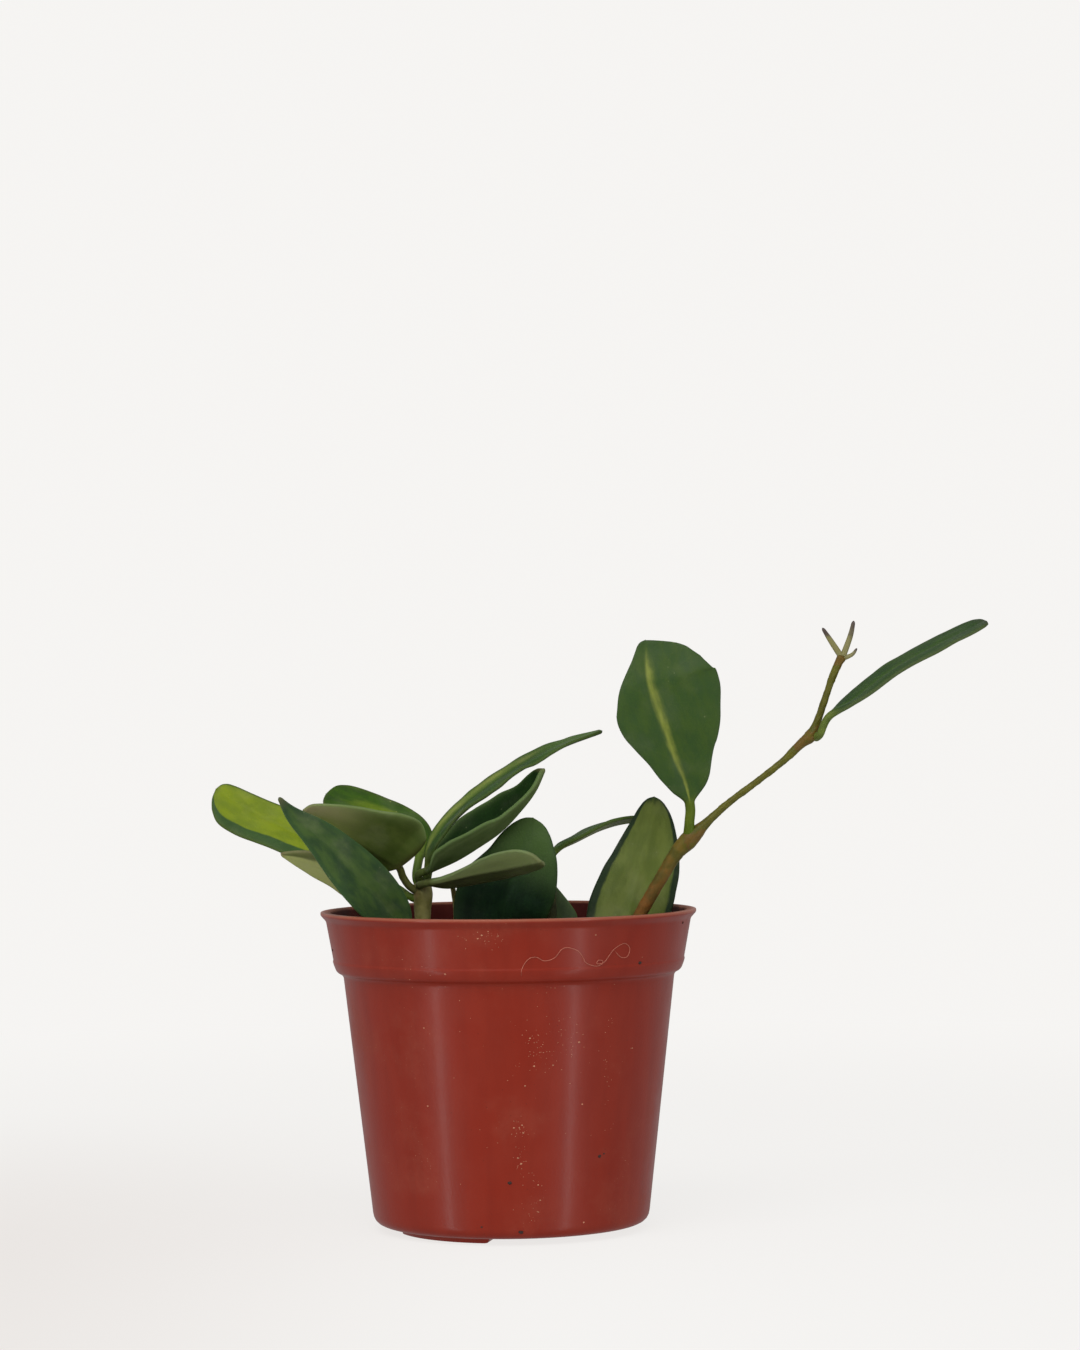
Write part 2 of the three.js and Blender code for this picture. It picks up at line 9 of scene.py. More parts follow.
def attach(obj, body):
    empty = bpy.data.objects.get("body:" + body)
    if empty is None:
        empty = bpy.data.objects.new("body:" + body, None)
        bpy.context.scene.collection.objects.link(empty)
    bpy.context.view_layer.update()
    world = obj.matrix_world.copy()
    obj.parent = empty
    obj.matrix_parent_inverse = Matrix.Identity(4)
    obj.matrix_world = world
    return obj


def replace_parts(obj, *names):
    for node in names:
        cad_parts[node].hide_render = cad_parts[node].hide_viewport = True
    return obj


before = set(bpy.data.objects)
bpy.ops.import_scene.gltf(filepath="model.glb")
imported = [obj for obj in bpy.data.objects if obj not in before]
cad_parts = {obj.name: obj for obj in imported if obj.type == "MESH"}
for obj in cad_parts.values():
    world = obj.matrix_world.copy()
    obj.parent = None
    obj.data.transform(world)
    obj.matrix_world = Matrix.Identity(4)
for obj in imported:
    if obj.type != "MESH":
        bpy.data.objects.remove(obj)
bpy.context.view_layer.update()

scene = bpy.context.scene
mm = 0.001


# Shapes

def unit(vectors):
    return vectors / np.linalg.norm(vectors, axis=-1, keepdims=True)


def mix(low, high, share):
    return low + (high - low) * share


def ease(value, low, high):
    # 0 below low, 1 above high, a smooth S between
    share = np.clip((value - low) / (high - low), 0, 1)
    return share * share * (3 - 2 * share)


def roundOff(left, reach, least):
    # A quarter circle: 1 until reach is left, then down to the root of least
    return np.sqrt(np.clip(1 - (1 - left / reach).clip(0) ** 2, least, 1))


def around(count):
    return 2 * np.pi * np.arange(count) / count


def cubic(line, place):
    # Uniform Catmull-Rom: between two points the cubic of their four nearest neighbours. The
    # line has one point more at each end, and place 1.5 is halfway from its third to its fourth.
    step = np.clip(place.astype(int), 0, len(line) - 4)
    t = (place - step)[:, None]
    a, b, c, d = line[step], line[step + 1], line[step + 2], line[step + 3]
    rise, bend, twist = c - a, 2 * a - 5 * b + 4 * c - d, 3 * (b - c) + d - a
    return (b + 0.5 * (rise * t + bend * t**2 + twist * t**3),
            0.5 * (rise + 2 * bend * t + 3 * twist * t**2))


def onCurve(points, place):
    # Points and slopes of a curve that runs on straight at both ends
    given = np.array(points, float)
    return cubic(np.vstack([2 * given[0] - given[1], given, 2 * given[-1] - given[-2]]), place)


def alongCurve(points, shares):
    # Points at shares of a curve's length, their unit tangents, places and the length
    fine = np.linspace(0, len(points) - 1, 80 * (len(points) - 1) + 1)
    spots, _ = onCurve(points, fine)
    run = np.concatenate([[0], np.cumsum(np.linalg.norm(np.diff(spots, axis=0), axis=1))])
    place = np.interp(np.asarray(shares) * run[-1], run, fine)
    centre, slope = onCurve(points, place)
    return centre, unit(slope), place, run[-1]


def listAt(values, share):
    # A smooth curve through a list of numbers, level past both ends
    given = np.array(values, float)[:, None]
    line = np.vstack([given[:1], given, given[-1:]])
    return cubic(line, np.clip(share, 0, 1) * (len(given) - 1))[0][:, 0]


def softNoise(x, y, seed, octaves=1):
    # Random heights on a unit lattice with an S-curve between them, each octave finer and lower
    table = np.random.default_rng(seed).uniform(-1, 1, (64, 64))
    total, size = np.zeros(np.broadcast(x, y).shape), 1.0
    for octave in range(octaves):
        u, v = x * 2**octave + 11.3 * octave, y * 2**octave + 5.7 * octave
        i, j = np.floor(u).astype(int), np.floor(v).astype(int)
        s, t = ease(u - i, 0, 1), ease(v - j, 0, 1)
        i, j = i % 63, j % 63
        total = total + size * mix(mix(table[i, j], table[i + 1, j], s),
                                   mix(table[i, j + 1], table[i + 1, j + 1], s), t)
        size *= 0.5
    return total


def makePiece(name, vertices, faces, material, values=None, slot=None, smooth=True):
    # vertices are millimetres; values holds one number or one vector for each vertex
    mesh = bpy.data.meshes.new(name)
    mesh.from_pydata((np.asarray(vertices) * mm).tolist(), [], faces)
    for title, data in (values or {}).items():
        data = np.asarray(data, float)
        kind, key = ("FLOAT", "value") if data.ndim == 1 else ("FLOAT_VECTOR", "vector")
        mesh.attributes.new(title, kind, "POINT").data.foreach_set(key, data.ravel())
    mesh.polygons.foreach_set("use_smooth", [smooth] * len(mesh.polygons))
    mesh.materials.append(material)
    mesh.update()
    piece = bpy.data.objects.new(name, mesh)
    scene.collection.objects.link(piece)
    if slot:
        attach(piece, "root")
    return piece


def skinFaces(rows, columns, first=0, closeStart=True):
    # Quads between neighbouring rings and a fan to a middle point over each end. The two
    # middle points follow the rings' own points.
    i, j = np.meshgrid(np.arange(rows - 1), np.arange(columns), indexing="ij")
    a, b = i * columns + j, i * columns + (j + 1) % columns
    quads = np.stack([a, b, b + columns, a + columns], -1).reshape(-1, 4) + first
    faces = quads.tolist()
    k = np.arange(columns)
    after, last = (k + 1) % columns, (rows - 1) * columns
    middle = np.full(columns, rows * columns)
    if closeStart:
        faces += (np.stack([middle, after, k], -1) + first).tolist()
    return faces + (np.stack([middle + 1, last + k, last + after], -1) + first).tolist()


def closedSkin(rings, start, end):
    return np.vstack([rings.reshape(-1, 3), start, end])


def tubeRings(points, radii, s, flat=1.0):
    # A ring of each radius square to the line, its first point sideways of line and depth axis.
    # The round end draws the last rings together along a quarter circle.
    shares = np.linspace(0, 1, s["rows"])
    centre, tangent, place, length = alongCurve(points, shares)
    radius = listAt(radii, place / (len(points) - 1))
    sideways = unit(np.cross(tangent, np.array([0.0, 1.0, 0.0])))
    normal = np.cross(tangent, sideways)
    radius = radius * roundOff(length - shares * length, s["roundEnd"], 0.01)
    turn, size = around(s["columns"]), radius[:, None, None]
    rings = (centre[:, None] + sideways[:, None] * np.cos(turn)[None, :, None] * size
             + normal[:, None] * np.sin(turn)[None, :, None] * size * flat)
    return rings, centre, shares, length, turn


# Shader helpers

def tone(red, green, blue):
    # A colour given as it looks on a screen, 0 to 255, turned into light values
    screen = np.array([red, green, blue]) / 255
    light = np.where(screen <= 0.04045, screen / 12.92, ((screen + 0.055) / 1.055) ** 2.4)
    return (*light.tolist(), 1.0)


class Value:
    # A node's output. Sums, differences and products of values become math nodes.
    def __init__(self, socket):
        self.socket = socket
        self.tree = socket.id_data

    def reckon(self, operation, *given):
        return addNode(self.tree, "Math", dict(enumerate(given)), operation=operation)["Value"]

    def __add__(self, other):
        return self.reckon("ADD", self, other)

    def __sub__(self, other):
        return self.reckon("SUBTRACT", self, other)

    def __rsub__(self, other):
        return self.reckon("SUBTRACT", other, self)

    def __mul__(self, other):
        return self.reckon("MULTIPLY", self, other)

    def __abs__(self):
        return self.reckon("ABSOLUTE", self)

    def ramp(self, low, high, first=0.0, last=1.0):
        # first below low, last above high, a smooth S between
        return addNode(self.tree, "MapRange", dict(enumerate((self, low, high, first, last))),
                       interpolation_type="SMOOTHSTEP")["Result"]


def give(socket, given):
    # Links a value, or writes a number or colour. A colour of three numbers is a screen colour.
    if isinstance(given, Value):
        given.tree.links.new(given.socket, socket)
    elif socket.type == "RGBA" and len(given) == 3:
        socket.default_value = tone(*given)
    else:
        socket.default_value = given


def addNode(tree, kind, inputs, **settings):
    # A new node with its settings and inputs. It gives back the node's outputs by name.
    node = tree.nodes.new("ShaderNode" + kind)
    for title, setting in settings.items():
        setattr(node, title, setting)
    for title, given in inputs.items():
        give(node.inputs[title], given)
    return {socket.name: Value(socket) for socket in node.outputs if socket.enabled}


def blend(share, a, b):
    return addNode(share.tree, "Mix", {"Factor": share, "A": a, "B": b}, data_type="RGBA")["Result"]


def noise(vector, scale, detail=2.0, rough=0.5):
    return addNode(vector.tree, "TexNoise", {"Vector": vector, "Scale": scale, "Detail": detail,
                                             "Roughness": rough})["Fac"]


def stretched(vector, scale):
    return addNode(vector.tree, "Mapping", {"Vector": vector, "Scale": scale})["Vector"]


def bump(height, strength, distance):
    return addNode(height.tree, "Bump", {"Height": height, "Strength": strength,
                                         "Distance": distance})["Normal"]


def parts(vector):
    # the three numbers of a vector
    return addNode(vector.tree, "SeparateXYZ", {0: vector}).values()


def objectPoint(tree):
    return addNode(tree, "TexCoord", {})["Object"]


def attribute(tree, name, kind="Fac"):
    return addNode(tree, "Attribute", {}, attribute_name=name)[kind]


def placeGroup(tree, group, **inputs):
    return addNode(tree, "Group", inputs, node_tree=group)


def newTree(name):
    material = bpy.data.materials.new(name)
    material.use_nodes = True
    material.node_tree.nodes.clear()
    return material, material.node_tree


def finish(tree, inputs):
    # The material's own shader with its inputs, which leads to the output
    addNode(tree, "OutputMaterial", {"Surface": addNode(tree, "BsdfPrincipled", inputs)["BSDF"]})


# Camera at the photograph's viewing angle

cameraSet = {
    "distance": 0.86, "height": 0.1195,  # metres from the pot's axis and above the floor
    "pitch": 0.0147, "yaw": 0.0095, "roll": 0.0105,  # radians
    "lens": 95.57,
}


def makeCamera(s):
    ahead = Vector((math.sin(s["yaw"]) * math.cos(s["pitch"]),
                    math.cos(s["yaw"]) * math.cos(s["pitch"]), math.sin(s["pitch"])))
    level = Vector((math.cos(s["yaw"]), -math.sin(s["yaw"]), 0))
    upright = level.cross(ahead)
    right = level * math.cos(s["roll"]) - upright * math.sin(s["roll"])
    up = level * math.sin(s["roll"]) + upright * math.cos(s["roll"])
    camera = bpy.data.objects.new("camera", bpy.data.cameras.new("camera"))
    scene.collection.objects.link(camera)
    camera.matrix_world = Matrix((
        (right.x, up.x, -ahead.x, 0), (right.y, up.y, -ahead.y, -s["distance"]),
        (right.z, up.z, -ahead.z, s["height"]), (0, 0, 0, 1)))
    camera.data.lens, camera.data.sensor_width, camera.data.sensor_fit = s["lens"], 36, "AUTO"
    camera.data.clip_start, camera.data.clip_end = 0.01, 60
    scene.camera = camera


makeCamera(cameraSet)
print("camera placed")


# Effects that several materials share

def makeGroup(name, effect, **defaults):
    # A group whose inputs are the defaults, None for a vector, and whose outputs are what the
    # effect makes of them
    group = bpy.data.node_groups.new(name, "ShaderNodeTree")
    for title, default in defaults.items():
        kind = "NodeSocketVector" if default is None else "NodeSocketFloat"
        socket = group.interface.new_socket(name=title, in_out="INPUT", socket_type=kind)
        if default is not None:
            socket.default_value = default
    inputs = group.nodes.new("NodeGroupInput").outputs
    made = effect(group, {title: Value(inputs[title]) for title in defaults})
    for title in made:
        group.interface.new_socket(name=title, in_out="OUTPUT", socket_type="NodeSocketFloat")
    outputs = group.nodes.new("NodeGroupOutput").inputs
    for title, value in made.items():
        give(outputs[title], value)
    return group


def grainEffect(group, given):
    # Fine unevenness of a skin: small grains on broader swells
    fine = noise(given["Vector"], given["Grain"])
    broad = noise(given["Vector"], given["Swell"], 3.0, 0.55)
    return {"Height": fine * (1.0 - given["Balance"]) + broad * given["Balance"],
            "Patches": broad.ramp(0.3, 0.7)}


def speckEffect(group, given):
    # Scattered dots: each cell has its own random number, and only cells under Share carry one
    cell = addNode(group, "TexVoronoi", {"Vector": given["Vector"], "Scale": given["Scale"]})
    chance = addNode(group, "SeparateColor", {"Color": cell["Color"]})["Red"]
    chosen = chance.reckon("LESS_THAN", chance, given["Share"])
    return {"Mask": cell["Distance"].ramp(given["Size"] * 0.4, given["Size"], 1.0, 0.0) * chosen}


def zoneEffect(group, given):
    # The parts of a leaf. Share holds the place along the blade (0 to 1), across it (-1 left
    # edge, 1 right edge) and in its thickness (-1 underside, 1 upper side). Blade holds the
    # same in millimetres: along, across and distance from the nearer edge.
    along, across, thick = parts(attribute(group, "share", "Vector"))
    spot = attribute(group, "blade", "Vector")
    run, aside, inward = parts(spot)
    streak = (noise(stretched(spot, (0.22, 0.8, 0)), 1.0, 5.0, 0.6) - 0.5) * given["Wobble"]
    # the pale field's centre line drifts by Slope from the base to the tip
    offside = abs(across - ((along - 0.5) * given["Slope"] + given["Centre"]))
    pale = (given["Reach"] - offside + streak).ramp(0.0, given["Feather"])
    pale = pale * (given["End"] - along + streak).ramp(0.0, given["Feather"])
    pale = pale * (along - given["Start"] + streak).ramp(0.0, given["Feather"])
    margin, ribWide = given["Margin"], given["Rib"] * (along * 0.9 + 0.45)
    rib = (abs(aside) + streak * 0.8).ramp(ribWide * 0.25, ribWide, 1.0, 0.0)
    slant = run - abs(aside) * 0.9 + streak * 6.0  # veins leave the midrib at a slant
    veins = slant.reckon("PINGPONG", slant, 2.6).ramp(0.0, 0.55, 1.0, 0.0)
    return {
        "Pale": pale, "Margin": (inward - streak).ramp(margin * 0.5, margin * 1.4, 1.0, 0.0),
        "Rib": rib * along.ramp(0.82, 0.98, 1.0, 0.0), "Rim": abs(thick).ramp(0.25, 0.9, 1.0, 0.0),
        "Upper": thick.ramp(-0.25, 0.25), "Veins": veins * inward.ramp(0.4, 2.2),
    }


grainGroup = makeGroup("fineGrain", grainEffect, Vector=None, Grain=2500.0, Swell=250.0,
                       Balance=0.5)
speckGroup = makeGroup("specks", speckEffect, Vector=None, Scale=900.0, Share=0.1, Size=0.3)
zoneGroup = makeGroup("leafZones", zoneEffect, Centre=0.0, Slope=0.0, Reach=0.5, Start=-0.3,
                      End=0.95, Feather=0.25, Wobble=0.3, Margin=0.6, Rib=0.7)
print("shared effects ready")


# Pot

pot = {
    "segments": 240, "cornerSteps": 6, "rowHeight": 4.5,
    # radius and height of each corner of the wall's section, and how far it is rounded
    "outside": [(29.8, 1.4, 0.1), (32.8, 1.6, 2.6), (39.65, 60.9, 0.9), (41.2, 61.6, 0.7),
                (41.9, 63.3, 0.5), (42.13, 64.1, 0.15), (42.02, 64.6, 0.15), (43.7, 73.8, 0.5),
                (44.55, 74.75, 0.35), (45.0, 75.25, 0.25), (45.0, 76.0, 0.35)],
    "inside": [(42.7, 76.0, 0.5), (40.9, 64.2, 1.2), (38.6, 60.6, 1.2), (31.6, 2.8, 1.8)],
    "floor": 2.7, "under": 1.4,  # heights of the bottom's upper side and of its underside
    "underRadii": [0.5, 3, 6, 8.7, 9.05, 12, 16, 20, 24, 27.3, 27.7, 28.6],
    "feet": [-41.5, 138.5],  # degrees of each foot's middle, which spans 60 with soft ends
    "footSpan": 60, "footSoft": 0.75, "footRadius": 27.6, "hubRadius": 9,
    "lipRadius": 44.6, "lipWidth": 1.2,  # past this radius the outside's colour ends
    "drains": [(14, 2.4), (23.5, 2.8)],  # distance from the axis and radius
    "drainTurns": [60, 120],  # from each foot's centre to its rows of drain holes
    "drainSides": 32, "drainCut": (-1.0, 5.0),
    # shadeSide is painted shade, laid on in soft vertical streaks
    "colour": (130, 36, 19), "worn": (134, 46, 30), "shadeSide": (108, 28, 16),
    # lipHighlightFrom: heights of a painted highlight along the lip's top
    "lipHighlightFrom": (0.0752, 0.0758),
    # innerShade is painted shade for the inside of the wall
    "innerShade": (54, 9, 6), "dust": (184, 126, 100), "soilMark": (62, 30, 20),
}


def roundedLine(corners, steps):
    # Each corner becomes a quadratic curve between two points cut back along its sides
    line = np.array(corners, float)
    spots, cut = line[:, :2], line[:, 2]
    made = [spots[0]]
    for k in range(1, len(spots) - 1):
        back, on = unit(spots[k - 1] - spots[k]), unit(spots[k + 1] - spots[k])
        start, end = spots[k] + back * cut[k], spots[k] + on * cut[k]
        t = np.linspace(0, 1, steps)[:, None]
        made += list((1 - t) ** 2 * start + 2 * t * (1 - t) * spots[k] + t**2 * end)
    return np.array(made + [spots[-1]])


def splitLong(line, longest):
    # Adds points along the straight stretches, so that no row is taller than longest
    made = [line[:1]]
    for a, b in zip(line[:-1], line[1:]):
        count = max(1, int(np.ceil(np.linalg.norm(b - a) / longest)))
        made.append(a + (b - a) * (np.arange(1, count + 1) / count)[:, None])
    return np.vstack(made)


def makePot(s, material):
    # The section turned about the axis. Under the bottom the height drops by the feet's depth
    # inside their two sectors and inside the hub.
    under = [(radius, s["under"]) for radius in s["underRadii"]]
    corners = s["outside"] + s["inside"] + [(s["underRadii"][0], s["floor"], 0)]
    section = np.vstack([under, splitLong(roundedLine(corners, s["cornerSteps"]), s["rowHeight"])])
    turn = around(s["segments"])
    radius, height = section[:, :1], np.repeat(section[:, 1:], s["segments"], 1)
    degrees = np.degrees(turn)[None]
    foot = np.zeros_like(height)
    half, soft = s["footSpan"] / 2, s["footSoft"]
    for centre in s["feet"]:
        off = np.abs((degrees - centre + 180) % 360 - 180)
        foot = np.maximum(foot, 1 - ease(off, half - soft, half + soft))
    foot = foot * (radius < s["footRadius"])
    foot = np.maximum(foot, (radius < s["hubRadius"]) * 1.0)
    isUnder = (np.arange(len(section)) < len(under))[:, None]
    height = np.where(isUnder, height * (1 - foot), height)
    rings = np.stack([radius * np.sin(turn), -radius * np.cos(turn), height], -1)
    vertices = closedSkin(rings, (0, 0, 0), (0, 0, s["floor"]))
    # 0 on the outside, 1 on the inside, and in between over the lip
    after = np.arange(len(section)) > np.argmax(section[:, 0] > s["lipRadius"])
    inner = np.where(after, ease(s["lipRadius"] - section[:, 0], 0.0, s["lipWidth"]), 0.0)
    values = {"inner": np.concatenate([np.repeat(inner, s["segments"]), [0.0, 1.0]])}
    piece = makePiece("nursery_pot", vertices, skinFaces(len(section), s["segments"]), material,
                      values, "pot_plastic")
    cutDrains(piece, s, material)
    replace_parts(piece, "pot")
    return piece


def cutDrains(piece, s, material):
    # Upright pegs, cut out of the bottom
    sides, pegs = s["drainSides"], []
    for channel in [math.radians(centre + turn) for centre in s["feet"] for turn in s["drainTurns"]]:
        for reach, hole in s["drains"]:
            turn = around(sides)
            ring = np.stack([reach * math.sin(channel) + hole * np.cos(turn),
                             -reach * math.cos(channel) + hole * np.sin(turn)], -1)
            pegs.append(np.stack([np.column_stack([ring, np.full(sides, z)]) for z in s["drainCut"]]))
    spots = np.vstack([closedSkin(peg, peg[0].mean(0), peg[1].mean(0)) for peg in pegs])
    faces = sum((skinFaces(2, sides, first=(2 * sides + 2) * k) for k in range(len(pegs))), [])
    cutter = makePiece("drain_cutter", spots, faces, material, smooth=False)
    cut = piece.modifiers.new("drains", "BOOLEAN")
    cut.operation, cut.object, cut.solver = "DIFFERENCE", cutter, "EXACT"
    bakeModifiers(piece)
    bpy.data.objects.remove(cutter)


def bakeModifiers(piece):
    # The piece keeps what its modifiers make of it, and the modifiers go
    bpy.context.view_layer.update()
    shape = bpy.data.meshes.new_from_object(
        piece.evaluated_get(bpy.context.evaluated_depsgraph_get()))
    shape.name = piece.data.name
    piece.modifiers.clear()
    piece.data = shape


def potPlastic(s):
    material, tree = newTree("potPlastic")
    point = objectPoint(tree)
    grain = placeGroup(tree, grainGroup, Vector=point, Grain=1600.0, Swell=90.0, Balance=0.35)
    shadeStreaks = noise(stretched(point, (1, 1, 0.12)), 260.0, 3.0)  # darker vertical streaks of shadeSide: painted shade
    colour = blend(grain["Patches"] * 0.35, s["colour"], s["worn"])
    colour = blend(shadeStreaks.ramp(0.35, 0.7) * 0.22, colour, s["shadeSide"])
    inner = attribute(tree, "inner")  # inside the wall the colour is darkened: painted shade
    colour = blend(inner * 0.9, colour, s["innerShade"])
    _, _, height = parts(point)  # the lip's top edge is drawn pale in the dust colour: a painted highlight
    colour = blend(height.ramp(*s["lipHighlightFrom"]) * 0.35, colour, s["dust"])
    # loose dust gathers in patches and below the step
    where = noise(point, 55.0, 4.0, 0.6).ramp(0.52, 0.72)
    bright = placeGroup(tree, speckGroup, Vector=point, Scale=1500.0, Share=0.16, Size=0.22)["Mask"]
    murky = placeGroup(tree, speckGroup, Vector=point, Scale=1100.0, Share=0.05, Size=0.2)["Mask"]
    film = where * noise(point, 900.0, 4.0, 0.7)
    colour = blend(film * 0.1, colour, s["dust"])
    colour = blend(bright * where * 0.5, colour, s["dust"])
    colour = blend(murky * 0.4, colour, s["soilMark"])
    finish(tree, {
        "Base Color": colour, "Roughness": grain["Patches"] * 0.08 + 0.34 + film * 0.2 + inner * 0.3,
        "Normal": bump(grain["Height"] + bright * 0.3, 0.12, 0.0003),
        "Specular IOR Level": 0.15, "Coat Weight": inner * -0.12 + 0.12, "Coat Roughness": 0.2})
    return material


potPiece = makePot(pot, potPlastic(pot))
print("pot made:", len(potPiece.data.polygons), "faces")


# Dirt that sticks to the pot: places as degrees from the front towards +X and heights in mm

potMarks = {
    "crumbs": [(-8.1, 72.4, 0.2), (-9.4, 71.6, 0.16), (-6.2, 73.2, 0.14), (-20.4, 63.4, 0.22),
               (27.4, 71.9, 0.16), (7, 48.4, 0.18), (8.5, 41.9, 0.2), (15.3, 42, 0.18),
               (24.8, 47.1, 0.25), (-31.7, 32.4, 0.17), (5.3, 37.4, 0.18), (27.1, 32.6, 0.19),
               (1.2, 27.7, 0.2), (4.2, 28.3, 0.18), (4.6, 26.5, 0.2), (2.7, 20.7, 0.2),
               (3.8, 19.3, 0.24), (49, 44.7, 0.16), (10.4, 14.3, 0.18), (11.3, 10.7, 0.16),
               (10.6, 8, 0.16), (-30.9, 50.6, 0.16), (-3.2, 72.2, 0.14), (30.2, 4.9, 0.18)],
    # patches of finer crumbs: place of the middle, spread in degrees and in mm, number
    "patches": [(9.5, 45.4, 3.4, 2.8, 46), (18, 50, 3, 2, 16), (23, 46, 4, 4, 14),
                (3.2, 27, 1.6, 1.6, 22), (3.4, 20, 1.3, 2.4, 16), (8, 9.5, 2, 4.5, 24),
                (37, 40, 1, 6, 22), (-7, 72, 3, 1, 18), (12, 60, 8, 0.8, 12), (0, 40, 26, 22, 60),
                (-28, 66, 8, 3, 12)],
    "fineSizes": (0.04, 0.1), "patchSeed": 77, "patchLimits": (5, 73.5), "crumbShape": [1.2, 0.9, 0.45],
    "grit": [(46.2, 64.8, 0.42), (-80.3, 67.2, 0.35), (-0.5, 14.9, 0.42), (36, 20.1, 0.4),
             (3.7, 3.4, 0.42), (70.5, 73.2, 0.35), (38, 20.6, 0.22), (-12, 4.6, 0.22)],
    "fibre": [[3.8, 62.6], [4, 64.5], [5.9, 66.7], [8.4, 67.2], [10.9, 66.3], [14.1, 66.9],
              [16.3, 68.8], [18.5, 69.2], [21.8, 68.3], [23.6, 66.7], [24.8, 65.5], [28, 64.7],
              [30.2, 65], [30.6, 65.8], [29, 66], [28.6, 65.2], [31, 65.4], [32.6, 66.8],
              [33.9, 68], [35.8, 69], [38.5, 69.6], [40.7, 68.4], [40.1, 66.5], [37.3, 66.5],
              [34.5, 68.2]],
    "fibreRadius": 0.075, "fibreRows": 260, "fibreSides": 7, "fibreLift": (0.06, 0.05),
    "crumbColour": (192, 130, 98), "gritColour": (52, 26, 18), "fibreColour": (188, 106, 84),
}


def potRadius(height):
    # The outside of the wall at a height
    corners = np.array([(radius, z) for radius, z, _ in pot["outside"][1:-1]])
    return np.interp(height, corners[:, 1], corners[:, 0])


def onPot(degrees, height, lift):
    turn = np.radians(degrees)
    radius = potRadius(height) + lift
    return np.stack([radius * np.sin(turn), -radius * np.cos(turn), height], -1)


def ballShape():
    # An icosahedron with each face split in four, as a small blob's directions and faces
    g = (1 + 5**0.5) / 2
    spots = [(-1, g, 0), (1, g, 0), (-1, -g, 0), (1, -g, 0), (0, -1, g), (0, 1, g),
             (0, -1, -g), (0, 1, -g), (g, 0, -1), (g, 0, 1), (-g, 0, -1), (-g, 0, 1)]
    faces = [(0, 11, 5), (0, 5, 1), (0, 1, 7), (0, 7, 10), (0, 10, 11), (1, 5, 9), (5, 11, 4),
             (11, 10, 2), (10, 7, 6), (7, 1, 8), (3, 9, 4), (3, 4, 2), (3, 2, 6), (3, 6, 8),
             (3, 8, 9), (4, 9, 5), (2, 4, 11), (6, 2, 10), (8, 6, 7), (9, 8, 1)]
    edges = sorted({tuple(sorted(pair)) for a, b, c in faces for pair in ((a, b), (b, c), (c, a))})
    middle = {pair: 12 + k for k, pair in enumerate(edges)}
    spots = np.array(spots, float)
    spots = np.vstack([spots, [(spots[a] + spots[b]) / 2 for a, b in edges]])
    split = []
    for a, b, c in faces:
        ab, bc, ca = (middle[tuple(sorted(p))] for p in ((a, b), (b, c), (c, a)))
        split += [(a, ab, ca), (b, bc, ab), (c, ca, bc), (ab, bc, ca)]
    return unit(spots), np.array(split)


ballSpots, ballFaces = ballShape()


def blobs(centres, sizes, seed, across, frames, push=0.28):
    # Each blob is the ball with its points pushed in or out at random, scaled along the three
    # axes of its own frame and moved to its centre
    random = np.random.default_rng(seed)
    count = len(centres)
    pushed = 1 + random.uniform(-push, push, (count, len(ballSpots), 1))
    local = ballSpots[None] * pushed * across[:, None] * np.asarray(sizes)[:, None, None]
    spots = np.einsum("nij,njk->nik", local, frames) + np.asarray(centres)[:, None]
    faces = ballFaces[None] + (np.arange(count) * len(ballSpots))[:, None, None]
    return spots.reshape(-1, 3), faces.reshape(-1, 3).tolist()


def wallFrames(degrees):
    # along the wall, up the wall and out of it
    turn = np.radians(degrees)
    zero = np.zeros_like(turn)
    side = np.stack([np.cos(turn), np.sin(turn), zero], -1)
    up = np.stack([zero, zero, zero + 1], -1)
    out = np.stack([np.sin(turn), -np.cos(turn), zero], -1)
    return np.stack([side, up, out], 1)


def dullLook(name, colour, rough):
    material, tree = newTree(name)
    grain = placeGroup(tree, grainGroup, Vector=objectPoint(tree), Grain=3000.0, Swell=700.0,
                       Balance=0.6)
    darker = tuple(light * 0.75 for light in tone(*colour)[:3]) + (1.0,)
    finish(tree, {"Base Color": blend(grain["Patches"], colour, darker), "Roughness": rough,
                  "Normal": bump(grain["Height"], 0.4, 0.0002)})
    return material


def makeMarks(s):
    random = np.random.default_rng(s["patchSeed"])
    fine = [np.column_stack([random.normal(0, 1, (count, 2)) * [wide, tall] + [turn, height],
                             random.uniform(*s["fineSizes"], count)])
            for turn, height, wide, tall, count in s["patches"]]
    fine = np.vstack(fine)
    lowest, highest = s["patchLimits"]
    fine = fine[(fine[:, 1] > lowest) & (fine[:, 1] < highest)]
    crumbs = np.vstack([s["crumbs"], fine])
    for name, key, marks, colour, seed in (("pale_crumbs", "crumbs", crumbs, "crumbColour", 3),
                                           ("dark_grit", "grit", np.array(s["grit"]), "gritColour", 5)):
        spots, faces = blobs(onPot(marks[:, 0], marks[:, 1], 0.0), marks[:, 2], seed,
                             np.tile(s["crumbShape"], (len(marks), 1)), wallFrames(marks[:, 0]))
        makePiece(name, spots, faces, dullLook(key + "Look", s[colour], 0.8), slot="pot_plastic")
    makeFibre(s)


